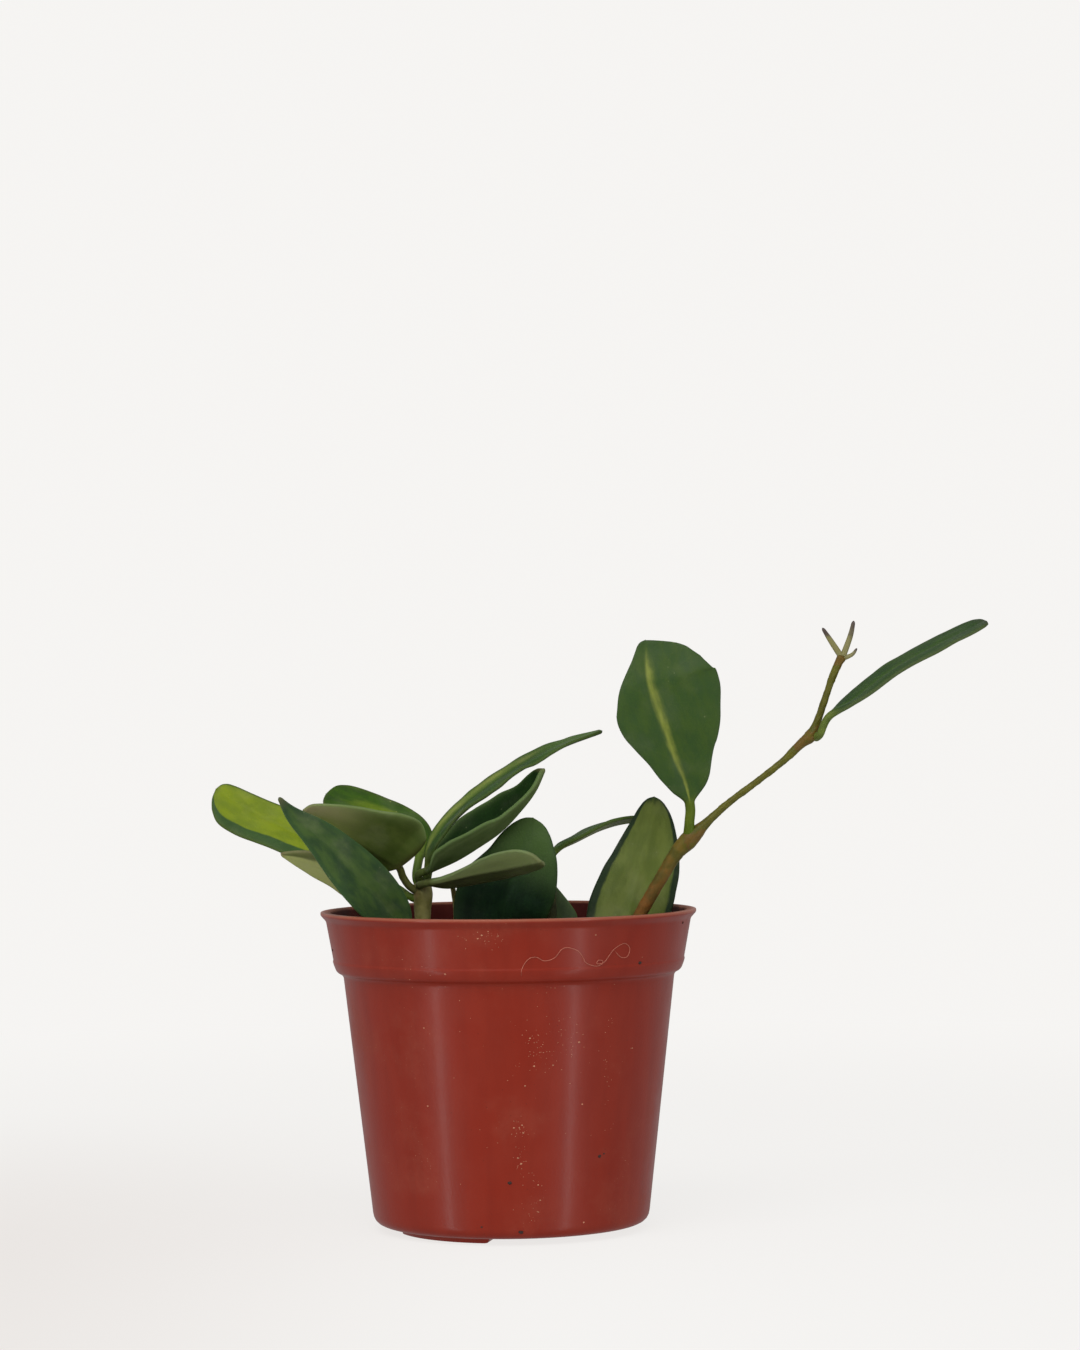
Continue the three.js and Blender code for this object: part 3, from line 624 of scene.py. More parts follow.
def makeFibre(s):
    # A thin tube that follows its marks round the wall
    marks = np.array(s["fibre"])
    shares = np.linspace(0, 1, s["fibreRows"])
    flat, _, _, _ = alongCurve(np.column_stack([marks, np.zeros(len(marks))]), shares)
    low, wander = s["fibreLift"]
    path = onPot(flat[:, 0], flat[:, 1], low + wander * softNoise(shares * 23, shares * 0, 8))
    tangent = unit(np.gradient(path, axis=0))
    out = unit(path * [1, 1, 0])
    side = np.cross(out, tangent)
    turn = around(s["fibreSides"])
    thin = s["fibreRadius"] * np.clip(np.minimum(shares, 1 - shares) * 30, 0.15, 1)[:, None, None]
    rings = path[:, None] + thin * (side[:, None] * np.cos(turn)[None, :, None]
                                    + out[:, None] * np.sin(turn)[None, :, None])
    makePiece("band_fibre", closedSkin(rings, path[0], path[-1]),
              skinFaces(s["fibreRows"], s["fibreSides"]),
              dullLook("fibreLook", s["fibreColour"], 0.6), slot="pot_plastic")


makeMarks(potMarks)
print("marks on the pot made")


# Soil

soil = {
    "top": 60.0, "bottom": 3.0, "shoulder": 58.4,  # heights of the middle, the underside, the edge
    "rows": 84, "segments": 220,
    "wallRows": [3.0, 5.4, 14, 24, 34, 44, 52, 58.4],
    "wall": [(3.0, 29.7), (5.4, 31.5), (58.4, 37.85)],  # height and radius
    "topReach": (37.6, 0.35), "edge": (36.2, 37.9), "edgeRise": 0.4,
    "crumbs": 900, "reach": 36.0, "sizes": (0.35, 1.5), "seed": 12,
    "peat": (62, 44, 33), "bark": (112, 80, 54), "pale": (176, 150, 118), "perlite": (232, 228, 216),
}


def soilHeight(x, y):
    # Broad hollows, smaller lumps and crumbs, each a wave or a noise of its own size
    broad = 0.8 * np.sin(0.21 * x + 1.3) * np.cos(0.17 * y - 0.4)
    lumps = 0.45 * np.sin(0.83 * x - 0.61 * y) + 0.35 * np.cos(0.52 * x + 0.94 * y)
    return soil["top"] + broad + lumps + 0.55 * softNoise(x / 2.6, y / 2.6, 21, 4)


def makeSoil(s, material):
    # Rings from the middle of the pot's floor up its wall, and in again over the top
    turn, wallRows = around(s["segments"]), np.array(s["wallRows"])
    wallRadii = np.interp(wallRows, *np.array(s["wall"]).T)
    radius = np.concatenate([wallRadii, np.linspace(*s["topReach"], s["rows"])])[:, None]
    x, y = radius * np.sin(turn), -radius * np.cos(turn)
    height = mix(soilHeight(x, y), s["shoulder"] + s["edgeRise"], ease(radius, *s["edge"]))
    height[:len(wallRows)] = wallRows[:, None]
    rings = np.stack([x, y, height], -1)
    middle = soilHeight(np.zeros(1), np.zeros(1))[0]
    vertices = closedSkin(rings, (0, 0, s["bottom"]), (0, 0, middle))
    piece = makePiece("potting_mix", vertices, skinFaces(len(radius), s["segments"]), material,
                      {"kind": np.full(len(vertices), 0.2)}, "potting_mix")
    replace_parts(piece, "soil")


def makeSoilCrumbs(s, material):
    random = np.random.default_rng(s["seed"])
    count = s["crumbs"]
    reach = s["reach"] * np.sqrt(random.uniform(0, 1, count))
    turn = random.uniform(0, 2 * np.pi, count)
    x, y = reach * np.cos(turn), reach * np.sin(turn)
    size = mix(*s["sizes"], random.uniform(0, 1, count) ** 2.2)
    across = np.stack([random.uniform(0.9, 1.9, count), random.uniform(0.7, 1.1, count),
                       random.uniform(0.4, 0.8, count)], -1)
    up = unit(np.array([0, 0, 1]) + 0.45 * random.normal(0, 1, (count, 3)))
    side = unit(np.cross(up, random.normal(0, 1, (count, 3))))
    frames = np.stack([side, np.cross(up, side), up], 1)
    centres = np.stack([x, y, soilHeight(x, y) + 0.15 * size], -1)
    spots, faces = blobs(centres, size, 14, across, frames)
    kind = np.repeat(random.uniform(0, 1, count), len(ballSpots))
    makePiece("soil_crumbs", spots, faces, material, {"kind": kind}, "potting_mix", smooth=False)


def soilLook(s):
    material, tree = newTree("pottingMix")
    point, kind = objectPoint(tree), attribute(tree, "kind")
    grain = placeGroup(tree, grainGroup, Vector=point, Grain=2600.0, Swell=520.0, Balance=0.5)
    colour = blend(grain["Patches"], s["peat"], s["bark"])
    colour = blend(kind.ramp(0.3, 0.75), colour, s["bark"])
    colour = blend(kind.ramp(0.86, 0.93), colour, s["pale"])
    colour = blend(kind.ramp(0.965, 0.97), colour, s["perlite"])
    bits = placeGroup(tree, speckGroup, Vector=point, Scale=900.0, Share=0.12, Size=0.35)["Mask"]
    finish(tree, {"Base Color": blend(bits * 0.5, colour, s["pale"]), "Roughness": 0.9,
                  "Normal": bump(grain["Height"], 0.8, 0.0006)})
    return material


mixLook = soilLook(soil)
makeSoil(soil, mixLook)
makeSoilCrumbs(soil, mixLook)
print("soil made")


# Stems

def makeStem(name, s, material):
    # A tube with swellings at its joints and a wrinkled skin. The noise is read on a circle,
    # so that it closes round the stem.
    rings, centre, shares, length, turn = tubeRings(
        [s["foot"]] + s["path"], [s["radii"][0]] + s["radii"], s)
    run = shares[:, None] * length
    round1, round2 = np.cos(turn)[None], np.sin(turn)[None]
    wrinkle = softNoise(2.2 * round1 + run * 0.9, 2.2 * round2 + run * 0.25, s["seed"], 3)
    fade = ease(length - run, 0.0, 1.5)
    ridges = np.abs(np.sin(np.pi * run / s["scarEvery"] + 0.6 * wrinkle)) ** 24
    swell = s["wrinkle"] * wrinkle * fade + s["scar"] * ridges * fade
    rings = rings + unit(rings - centre[:, None]) * swell[..., None]
    values = {"run": np.concatenate([np.repeat(run[:, 0], s["columns"]), [0.0, length]])}
    return makePiece(name, closedSkin(rings, centre[0], centre[-1]),
                     skinFaces(s["rows"], s["columns"]), material, values, s["slot"])


def stemLook(name, s):
    # Green skin above, bark below, browner at the joints. Run is the distance from the foot.
    material, tree = newTree(name)
    point = objectPoint(tree)
    grain = placeGroup(tree, grainGroup, Vector=point, Grain=2600.0, Swell=330.0, Balance=0.55)
    patches, span = grain["Patches"], (s["barkEnd"] - s["barkFade"], s["barkEnd"])
    run = attribute(tree, "run") + (patches - 0.5) * s["ragged"]
    bark = blend(patches, s["bark"], s["barkDark"])
    colour = blend(run.ramp(*span, 1.0, 0.0), blend(patches, s["green"], s["greenDark"]), bark)
    for middle, reach in s["joints"]:
        near = abs(run - middle).ramp(0.3 * reach, reach, s["jointShare"], 0.0)
        colour = blend(near, colour, s["joint"])
    bits = placeGroup(tree, speckGroup, Vector=point, Scale=1400.0, Share=0.12, Size=0.3)["Mask"]
    finish(tree, {
        "Base Color": blend(bits * 0.12, colour, s["speck"]),
        "Roughness": run.ramp(*span, 0.65, 0.36) + patches * 0.1,
        "Normal": bump(grain["Height"], 0.35, 0.0003), "Specular IOR Level": 0.16,
        "Subsurface Weight": 0.08, "Subsurface Radius": (0.002, 0.0015, 0.0006)})
    return material


greenBark = {
    "green": (136, 132, 80), "greenDark": (108, 104, 56), "bark": (146, 134, 88),
    "barkDark": (108, 92, 56), "joint": (112, 92, 54), "speck": (160, 150, 106),
    "barkEnd": 22.0, "barkFade": 10.0, "ragged": 5.0, "jointShare": 0.6, "joints": [(29.0, 3.0)],
}
stemLeft = {
    "foot": [-20.4, -3, 54],
    "path": [[-20.4, -3, 66], [-20.5, -3, 75], [-20.4, -3, 80], [-20.6, -3, 83.6]],
    "radii": [1.9, 1.95, 2.35, 1.9], "rows": 110, "columns": 40, "roundEnd": 1.6, "seed": 31,
    "wrinkle": 0.07, "scar": 0.05, "scarEvery": 5.2, "slot": "green_stem",
}
greenLook = stemLook("greenStem", greenBark)
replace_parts(makeStem("cutting_stem_left", stemLeft, greenLook), "stem_left")

stemFrontLeft = {
    "foot": [-24.4, -11, 54], "path": [[-24.4, -11, 64], [-24.4, -11, 68], [-24.6, -11.3, 72]],
    "radii": [1.4, 1.4, 1.5], "rows": 70, "columns": 32, "roundEnd": 1.1, "seed": 32,
    "wrinkle": 0.06, "scar": 0.04, "scarEvery": 4.6, "slot": "green_stem",
}
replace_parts(makeStem("cutting_stem_front_left", stemFrontLeft, greenLook), "stem_front_left")

stemMiddle = {
    "foot": [10.2, 6, 54], "path": [[10.2, 6, 66], [10.2, 6, 76], [10.3, 6, 83], [10.4, 6, 87.6]],
    "radii": [1.5, 1.4, 1.3, 1.1], "rows": 110, "columns": 32, "roundEnd": 0.9, "seed": 33,
    "wrinkle": 0.06, "scar": 0.04, "scarEvery": 6.1, "slot": "green_stem",
}
# the middle cutting's lower bark colours are darkened: painted shade among the leaves
shadedLook = stemLook("shadedStem", dict(
    greenBark, bark=(62, 66, 38), barkDark=(46, 50, 30), barkEnd=30.0, barkFade=6.0))
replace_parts(makeStem("cutting_stem_middle", stemMiddle, shadedLook), "stem_middle")

thinShoot = {
    "foot": [-12.6, 8, 54],
    "path": [[-12.6, 8, 66], [-12.6, 8, 72], [-12.8, 8, 77], [-13.3, 8, 80.5], [-13.7, 8, 82.6]],
    "radii": [0.7, 0.68, 0.65, 0.62, 0.75], "rows": 90, "columns": 20, "roundEnd": 0.6, "seed": 34,
    "wrinkle": 0.03, "scar": 0.02, "scarEvery": 3.4, "slot": "green_stem",
}
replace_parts(makeStem("young_shoot", thinShoot, greenLook), "thin_shoot")

vineBark = {
    "green": (94, 92, 27), "greenDark": (78, 76, 22), "bark": (122, 80, 34),
    "barkDark": (82, 64, 27), "joint": (104, 76, 32), "speck": (140, 116, 66),
    "barkEnd": 50.0, "barkFade": 30.0, "ragged": 7.0, "jointShare": 0.75,
    "joints": [(46.0, 4.0), (81.5, 3.5), (103.0, 3.0)],
}
vineRight = {
    "foot": [24.4, 0, 54],
    "path": [[24.6, 0, 61.2], [25, -0.1, 63.2], [27.5, -0.9, 67.2], [31.8, -2, 75.1],
             [37.2, -2, 84.2], [40.4, -2, 89.2], [43.2, -2, 92.1], [45.5, -2, 94.3],
             [47.7, -2, 96.4], [52.7, -1.8, 100.8], [59.4, -1.5, 105.7], [66, -1.2, 110.7],
             [70.6, -1, 115], [72.9, -1, 116.8], [74.1, -1, 119.1], [75.8, -1, 123.7],
             [77.9, -0.5, 129.7], [79.9, 0, 134.3], [81, 0, 136]],
    "radii": [1.4, 1.4, 1.45, 1.5, 1.55, 1.75, 2.15, 1.65, 1.1, 0.85, 0.8, 0.85, 1.15, 1.5, 1.05,
              0.85, 0.85, 1, 1.3],
    "rows": 420, "columns": 32, "roundEnd": 1.0, "seed": 35,
    "wrinkle": 0.06, "scar": 0.06, "scarEvery": 7.3, "slot": "vine_bark",
}
vineLook = stemLook("vineBark", vineBark)
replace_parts(makeStem("trailing_vine", vineRight, vineLook), "vine_right")

vineBuds = {
    "paths": [[[80.5, 0, 135.9], [78, 0, 139.8], [76.1, 0, 142.8]],
              [[81, 0, 135.9], [82.8, 0, 140.7], [83.7, 0, 144.4]],
              [[80.9, 0, 135.3], [83.2, 0, 136.3], [84.4, 0, 137.8]]],
    "radii": [[0.75, 0.65, 0.4], [0.75, 0.65, 0.45], [0.6, 0.45, 0.3]],
    "flat": 0.7, "rows": 40, "columns": 20, "roundEnd": 0.9,
    "base": (120, 115, 66), "tip": (66, 52, 44), "slot": "vine_bark",
}


def makeBuds(s):
    material, tree = newTree("budSkin")
    grain = placeGroup(tree, grainGroup, Vector=objectPoint(tree), Grain=3000.0, Swell=500.0,
                       Balance=0.5)
    place = attribute(tree, "run") + grain["Patches"] * 0.25
    finish(tree, {"Base Color": blend(place.ramp(0.6, 1.05), s["base"], s["tip"]), "Roughness": 0.5,
                  "Normal": bump(grain["Height"], 0.35, 0.0002)})
    spots, faces, along = [], [], []
    for k, (path, radii) in enumerate(zip(s["paths"], s["radii"])):
        rings, centre, shares, _, turn = tubeRings(path, radii, s, s["flat"])
        # a furrow along the scale that wraps the bud
        furrow = 0.09 * np.exp(-((turn - 1.2) / 0.3) ** 2)[None] * ease(shares, 0.1, 0.4)[:, None]
        rings = rings - unit(rings - centre[:, None]) * furrow[..., None]
        spots.append(closedSkin(rings, centre[0], centre[-1]))
        faces += skinFaces(s["rows"], s["columns"], first=k * (s["rows"] * s["columns"] + 2))
        along.append(np.concatenate([np.repeat(shares, s["columns"]), [0.0, 1.0]]))
    makePiece("vine_tip_buds", np.vstack(spots), faces, material, {"run": np.concatenate(along)},
              s["slot"])


makeBuds(vineBuds)
print("stems made")


# Leaves

leafForm = {
    "stalkRadius": 0.9, "thickness": 1.3, "tipThickness": 1.0, "tipWidth": 0.5, "edge": 0.35,
    "keel": 0.7, "rootRows": 6, "stalkRows": 10, "bladeRows": 76, "sides": 64,
    "crowding": 0.35,  # draws the points of a ring towards the midrib
    "flatBy": 0.14,  # share of the blade over which the round stalk turns flat
    "groove": 0.26, "grooveWidth": 0.9,  # the midrib's dip in the upper side and its ridge below
    "wave": 0.22, "rootFlare": 0.25, "endRound": 0.05,
    "tipThin": 0.7, "tipCap": 0.12,  # mm over which the tip thins, and how far its last point is
    "dust": (170, 165, 140),
}


def leafHalf(s, along, turn):
    # The half width from a list of numbers for either side, or from an oval that narrows to
    # both ends
    if "left" not in s:
        base = along < s["widest"]
        reach = np.where(base, s["widest"], 1 - s["widest"])
        power = np.where(base, s["base"][0], s["tip"][0])
        end = np.where(base, s["base"][1], s["tip"][1])
        off = np.abs(along - s["widest"]) / reach
        return (s["width"] / 2 * (1 - off.clip(0, 1) ** power) ** end)[:, None]
    half = np.where(np.cos(turn) > 0, listAt(s["left"], along)[:, None],
                    listAt(s["right"], along)[:, None])
    # both ends of a lopsided blade are rounded
    return half * roundOff(np.minimum(along, 1 - along), leafForm["endRound"], 0)[:, None]


def makeLeaf(name, s):
    # Rings along the midrib: from inside the stem, up the round stalk, then the flat blade
    f = leafForm
    points = [s["into"]] + s["midrib"]
    fine = np.linspace(0, 1, 801)
    _, _, place, whole = alongCurve(points, fine)
    root = np.interp(1.0, place, fine) * whole
    length = whole - root
    blade = (1 - np.cos(np.pi * np.linspace(0, 1, f["bladeRows"] + 1))) / 2
    stalkShare = s["stalk"] / length
    stalkRadius = s.get("stalkRadius", f["stalkRadius"])
    share = np.concatenate([np.linspace(-root / length, 0, f["rootRows"], endpoint=False),
                            np.linspace(0, stalkShare, f["stalkRows"], endpoint=False),
                            stalkShare + (1 - stalkShare) * blade])
    centre, tangent, _, _ = alongCurve(points, (share * length + root) / whole)
    share = share[:, None]
    facing = mix(*np.array(s["up"], float), share.clip(0))
    sideways = unit(np.cross(tangent, facing))
    normal = np.cross(sideways, tangent)

    turn = around(f["sides"]) + np.pi / f["sides"]
    turn = turn + f["crowding"] * np.sin(2 * turn)
    along = np.concatenate([np.zeros(f["rootRows"] + f["stalkRows"]), blade])
    half = leafHalf(s, along, turn)
    along = along[:, None]
    remain = (1 - along) * (length - s["stalk"])
    half = half * roundOff(remain, 0.25 * half[-4:].mean() + 0.6, 0.02)
    half = np.where(along > 0, half, 0.0)

    flat = ease(along, 0, f["flatBy"])
    tipThin = roundOff(remain, f["tipThin"], 0.06)
    thick = mix(2 * stalkRadius, mix(f["thickness"], f["tipThickness"], along), flat) * tipThin
    width = np.hypot(mix(stalkRadius, f["tipWidth"], along) * tipThin, half)
    flare = 1 + f["rootFlare"] * ease(-share, -0.3 / length, root / length)
    fold = np.radians(mix(*s["fold"], along)) * flat
    rise, run = np.sin(turn)[None], share * length
    across = -np.cos(turn)[None] * width * flare
    skin = thick / 2 * flare * np.sign(rise) * np.abs(rise) ** mix(1.0, f["edge"], flat)
    lift = (np.hypot(across, f["keel"]) - f["keel"]) * np.sin(fold)
    groove = -f["groove"] * np.exp(-(across / f["grooveWidth"]) ** 2) * flat * (1 - 0.6 * along)
    ripple = f["wave"] * softNoise(run / 8 + 31.7, across / 6 + 17.3, s["seed"], 2)
    ripple = ripple * flat * ease(across ** 2, 0, 16)
    frill = s.get("frill", 0.25) * softNoise(run / 5 + 7, np.sign(across) * 2 + 9, s["seed"] + 1, 2)
    frill = frill * flat * ease(np.abs(across) / width, 0.6, 1)
    height = (lift + skin + groove + ripple + frill)[..., None]
    rings = centre[:, None] + (sideways[:, None] * (across * np.cos(fold))[..., None]
                               + normal[:, None] * height)

    acrossShare = across / (width * flare)
    ones = np.ones_like(across)
    shares = np.stack([along * ones, acrossShare, np.sign(rise) * np.abs(rise) ** 0.5 * ones], -1)
    places = np.stack([run * ones, across, width * (1 - np.abs(acrossShare))], -1)
    values = {"share": np.vstack([shares.reshape(-1, 3), [0, 0, 0], [1, 0, 0]]),
              "blade": np.vstack([places.reshape(-1, 3), [-root, 0, 1], [length, 0, 0.2]])}
    vertices = closedSkin(rings, centre[0], centre[-1] + tangent[-1] * f["tipCap"])
    piece = makePiece(name, vertices, skinFaces(len(share), f["sides"]),
                      leafLook(name, s["look"]), values, s["slot"])
    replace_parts(piece, s["node"])


def leafSide(cloud, along, s):
    # One side has a ground colour, a pale field, faint veins, a midrib line and a margin
    zones = placeGroup(cloud.tree, zoneGroup, **s.get("zone", {}))
    ground = blend(cloud, s["ground"], s.get("cloud", s["ground"]))
    if "far" in s:
        ground = blend(along.ramp(*s["farFrom"]), ground, s["far"])
    pale = blend(cloud, s["pale"], s.get("paleCloud", s["pale"]))
    colour = blend(zones["Pale"], ground, pale)
    colour = blend(zones["Veins"] * s.get("veins", 0.03), colour, s["rib"])
    colour = blend(zones["Rib"] * s.get("ribShare", 0.2), colour, s["rib"])
    return zones, blend(zones["Margin"] * s.get("marginShare", 0.3), colour, s["margin"])


def leafLook(name, s):
    # The two sides, joined by the rim, with the stalk, the tip, corky flecks and dust
    material, tree = newTree(name + "Skin")
    point = objectPoint(tree)
    along, _, _ = parts(attribute(tree, "share", "Vector"))
    grain = placeGroup(tree, grainGroup, Vector=point, Grain=1900.0, Swell=260.0, Balance=0.5)
    spot = stretched(attribute(tree, "blade", "Vector"), (0.12, 0.3, 0))
    cloud = noise(spot, 1.0, 4.0, 0.6).ramp(0.35, 0.65)
    zones, upper = leafSide(cloud, along, s["upper"])
    _, under = leafSide(cloud, along, s["under"])
    colour = blend(zones["Rim"] * 0.75, blend(zones["Upper"], under, upper), s["rim"])
    stalk = blend(grain["Patches"], s["stalk"], s.get("stalkDark", s["stalk"]))
    colour = blend(along.ramp(0.0, 0.07, 1.0, 0.0), colour, stalk)
    tip = along.ramp(s.get("tipFrom", 0.95), 1.0) * s.get("tipShare", 0.6)
    colour = blend(tip, colour, s["tip"])
    where = noise(point, 120.0, 3.0).ramp(0.5, 0.7)
    flecks = placeGroup(tree, speckGroup, Vector=point, Scale=700.0, Share=s.get("flecks", 0.1),
                        Size=0.2)["Mask"]
    colour = blend(flecks * where * 0.5, colour, s["fleck"])
    film = where * noise(point, 700.0, 4.0, 0.7)
    finish(tree, {
        "Base Color": blend(film * s.get("dust", 0.12), colour, leafForm["dust"]),
        "Roughness": grain["Patches"] * 0.1 + s.get("rough", 0.42) + film * 0.12,
        "Normal": bump(grain["Height"] + zones["Veins"] * 0.12, 0.22, 0.0004),
        "Subsurface Weight": 0.12, "Subsurface Radius": (0.0012, 0.002, 0.0005),
        "Specular IOR Level": s.get("shine", 0.12)})
    return material


leafFarLeft = {
    "node": "leaf_far_left", "slot": "leaf_bright", "seed": 40, "into": [-20.6, -3, 78.4],
    "midrib": [[-23.5, -2.6, 79.5], [-26.4, -1, 81.4], [-33, 2, 85.2], [-43, 5, 90.4],
                [-55, 9, 96.4], [-61.6, 10.5, 99.8], [-70.8, 12, 105.4]],
    "stalk": 6,
    "left": [0, 1.5, 3.2, 4.9, 5.9, 6.3, 6.6, 7, 7.6, 7.2, 3.6],
    "right": [0, 1.2, 2.6, 3.9, 4.8, 5, 4.8, 4.4, 3.9, 3.3, 2.4],
    "up": [[0.1, -0.85, 0.5], [0.15, -0.95, 0.3]], "fold": [12, 4], "frill": 0.1,
    "look": {
        "upper": {"ground": (54, 84, 34), "cloud": (46, 74, 32), "pale": (122, 138, 18),
                  "paleCloud": (106, 124, 18), "rib": (118, 132, 34), "ribShare": 0.1,
                  "margin": (44, 62, 24), "marginShare": 0.7, "veins": 0.015,
                  "zone": {"Centre": 0.55, "Slope": -0.4, "Reach": 1.12, "End": 1.06,
                           "Feather": 0.06, "Wobble": 0.1, "Margin": 0.4}},
        "under": {"ground": (86, 104, 46), "pale": (124, 136, 74), "rib": (132, 142, 86),
                  "margin": (72, 84, 44)},
        "rim": (78, 96, 36), "stalk": (98, 122, 40), "stalkDark": (76, 98, 30),
        "tip": (60, 80, 30), "tipShare": 0.5, "tipFrom": 0.97, "fleck": (150, 156, 70), "rough": 0.38,
    },
}
makeLeaf("leaf_bright_far_left", leafFarLeft)

leafFrontLeft = {
    "node": "leaf_front_left", "slot": "leaf_dark", "seed": 41, "into": [-24.5, -11.4, 67.8],
    "midrib": [[-25, -13.9, 69.2], [-26.4, -16, 74], [-29.9, -19, 79], [-37.3, -24, 87.7],
                [-43.7, -28, 94.7], [-49.5, -31, 99.9], [-52.6, -33, 104]],
    "stalk": 2.4, "width": 12.6, "widest": 0.34, "base": [2.6, 0.45], "tip": [1.5, 0.9],
    "up": [[0, -0.8, 0.5], [0, -0.95, 0.3]], "fold": [8, 6], "frill": 0.12,
    "look": {
        # the paler field along the middle of the upper side is a painted sheen
        "upper": {"ground": (66, 90, 42), "cloud": (44, 68, 38), "pale": (78, 100, 50),
                  "rib": (84, 102, 56), "ribShare": 0.12, "margin": (34, 62, 36), "marginShare": 0.5,
                  "veins": 0.02, "zone": {"Centre": 0.1, "Reach": 0.3, "Feather": 0.5, "Margin": 0.9}},
        "under": {"ground": (92, 106, 70), "pale": (106, 118, 80), "rib": (122, 132, 94),
                  "margin": (84, 96, 64)},
        "rim": (62, 90, 48), "stalk": (98, 106, 56), "stalkDark": (76, 82, 42),
        "tip": (96, 92, 66), "tipFrom": 0.92, "fleck": (160, 168, 124),
        "flecks": 0.2, "rough": 0.5, "dust": 0.14,
    },
}
makeLeaf("leaf_matte_front_left", leafFrontLeft)

leafLowLeft = {
    "node": "leaf_low_left", "slot": "leaf_pale", "seed": 42, "into": [-25, -11.3, 70.2],
    "midrib": [[-27.2, -12, 71.7], [-29.2, -13.4, 77.3], [-37.2, -15, 83.7], [-45.4, -16, 87.8],
                [-53.3, -17, 90.6]],
    "stalk": 4, "width": 10.6, "widest": 0.42, "base": [2, 0.7], "tip": [1.8, 0.8],
    "up": [[0, 0.75, 0.7], [0, 0.7, 0.75]], "fold": [10, 6], "frill": 0.12,
    "look": {
        "upper": {"ground": (64, 86, 38), "pale": (112, 126, 62), "rib": (112, 126, 70),
                  "margin": (60, 76, 38)},
        "under": {"ground": (100, 106, 60), "cloud": (88, 96, 50), "pale": (158, 164, 100),
                  "rib": (150, 152, 104), "ribShare": 0.1, "margin": (128, 128, 82),
                  "zone": {"Centre": 0.75, "Reach": 1.3, "End": 1.2, "Feather": 0.3, "Margin": 0.4}},
        "rim": (120, 118, 80), "stalk": (112, 110, 62), "stalkDark": (86, 82, 44),
        "tip": (112, 96, 64), "tipShare": 0.5, "fleck": (180, 176, 136), "rough": 0.5,
    },
}
makeLeaf("leaf_pale_low_left", leafLowLeft)

leafMidLeft = {
    "node": "leaf_mid_left", "slot": "leaf_pale", "seed": 43, "into": [-20.8, -3.2, 80.4],
    "midrib": [[-23.4, -4.4, 81.9], [-25, -5.2, 84.2], [-26.4, -7, 87.2], [-32.1, -12, 91.3],
                [-38.2, -17, 95.3], [-43.9, -20, 98.8], [-47.7, -22, 101]],
    "stalk": 6.2,
    "left": [9, 11.6, 12.2, 11.8, 10.8, 9.5, 8.2, 6.8, 5.4, 3.8, 1.8],
    "right": [3, 6.4, 8.4, 9, 8.8, 8, 7, 5.6, 4.2, 2.8, 1.4],
    "up": [[-0.2, 0.7, 0.68], [-0.1, 0.7, 0.7]], "fold": [12, 8], "frill": 0.1,
    "look": {
        "upper": {"ground": (54, 80, 30), "pale": (104, 122, 48), "rib": (106, 122, 64),
                  "margin": (50, 68, 32)},
        # the underside darkens from the tip towards the base: painted shade
        "under": {"ground": (82, 96, 42), "cloud": (70, 86, 34), "pale": (94, 104, 50),
                  "far": (122, 120, 80), "farFrom": (0.35, 1.0), "rib": (104, 112, 66),
                  "ribShare": 0.05, "margin": (88, 108, 50), "marginShare": 0.5, "veins": 0.015,
                  "zone": {"Centre": -0.1, "Start": 0.25, "End": 1.3, "Feather": 0.6,
                           "Margin": 0.4}},
        # the pale rim is a painted highlight along the edge
        "rim": (112, 130, 78), "stalk": (92, 94, 46), "stalkDark": (70, 70, 34),
        "tip": (116, 108, 74), "tipShare": 0.5, "tipFrom": 0.9, "fleck": (130, 130, 84),
    },
}
makeLeaf("leaf_pale_mid_left", leafMidLeft)

leafBackLeft = {
    "node": "leaf_back_left", "slot": "leaf_bright", "seed": 44, "into": [-20.7, -3, 81.6],
    "midrib": [[-21.9, -2.2, 84.5], [-21.1, 1.9, 90], [-21.4, 5.5, 93.8], [-25.8, 9.5, 96.7],
                [-33.2, 13.5, 99.5], [-40.2, 16, 101.9], [-44.3, 17, 103.9]],
    "stalk": 5, "stalkRadius": 1.05,
    "left": [0.8, 2, 3.2, 4.3, 5.2, 5.8, 6.3, 6.4, 6.2, 5.6, 3.4],
    "right": [0.8, 2.2, 3.4, 4.4, 5.1, 5.6, 5.8, 5.9, 5.9, 5.4, 3.6],
    "up": [[0.5, -0.6, 0.5], [0.1, -0.6, 0.8]], "fold": [14, 8], "frill": 0.12,
    "look": {
        "upper": {"ground": (44, 72, 18), "cloud": (54, 86, 14), "pale": (100, 120, 34),
                  "paleCloud": (84, 106, 18), "rib": (108, 124, 44), "ribShare": 0.1,
                  "margin": (48, 62, 26), "marginShare": 0.6, "veins": 0.015,
                  "zone": {"Centre": -0.55, "Reach": 1.05, "End": 0.9,
                           "Margin": 0.35}},
        "under": {"ground": (86, 102, 42), "pale": (116, 128, 66), "rib": (124, 134, 80),
                  "margin": (76, 84, 44)},
        "rim": (80, 88, 34), "stalk": (94, 118, 36), "stalkDark": (72, 96, 28),
        "tip": (56, 78, 20), "tipShare": 0.5, "fleck": (170, 170, 104), "rough": 0.38,
    },
}
makeLeaf("leaf_bright_back_left", leafBackLeft)

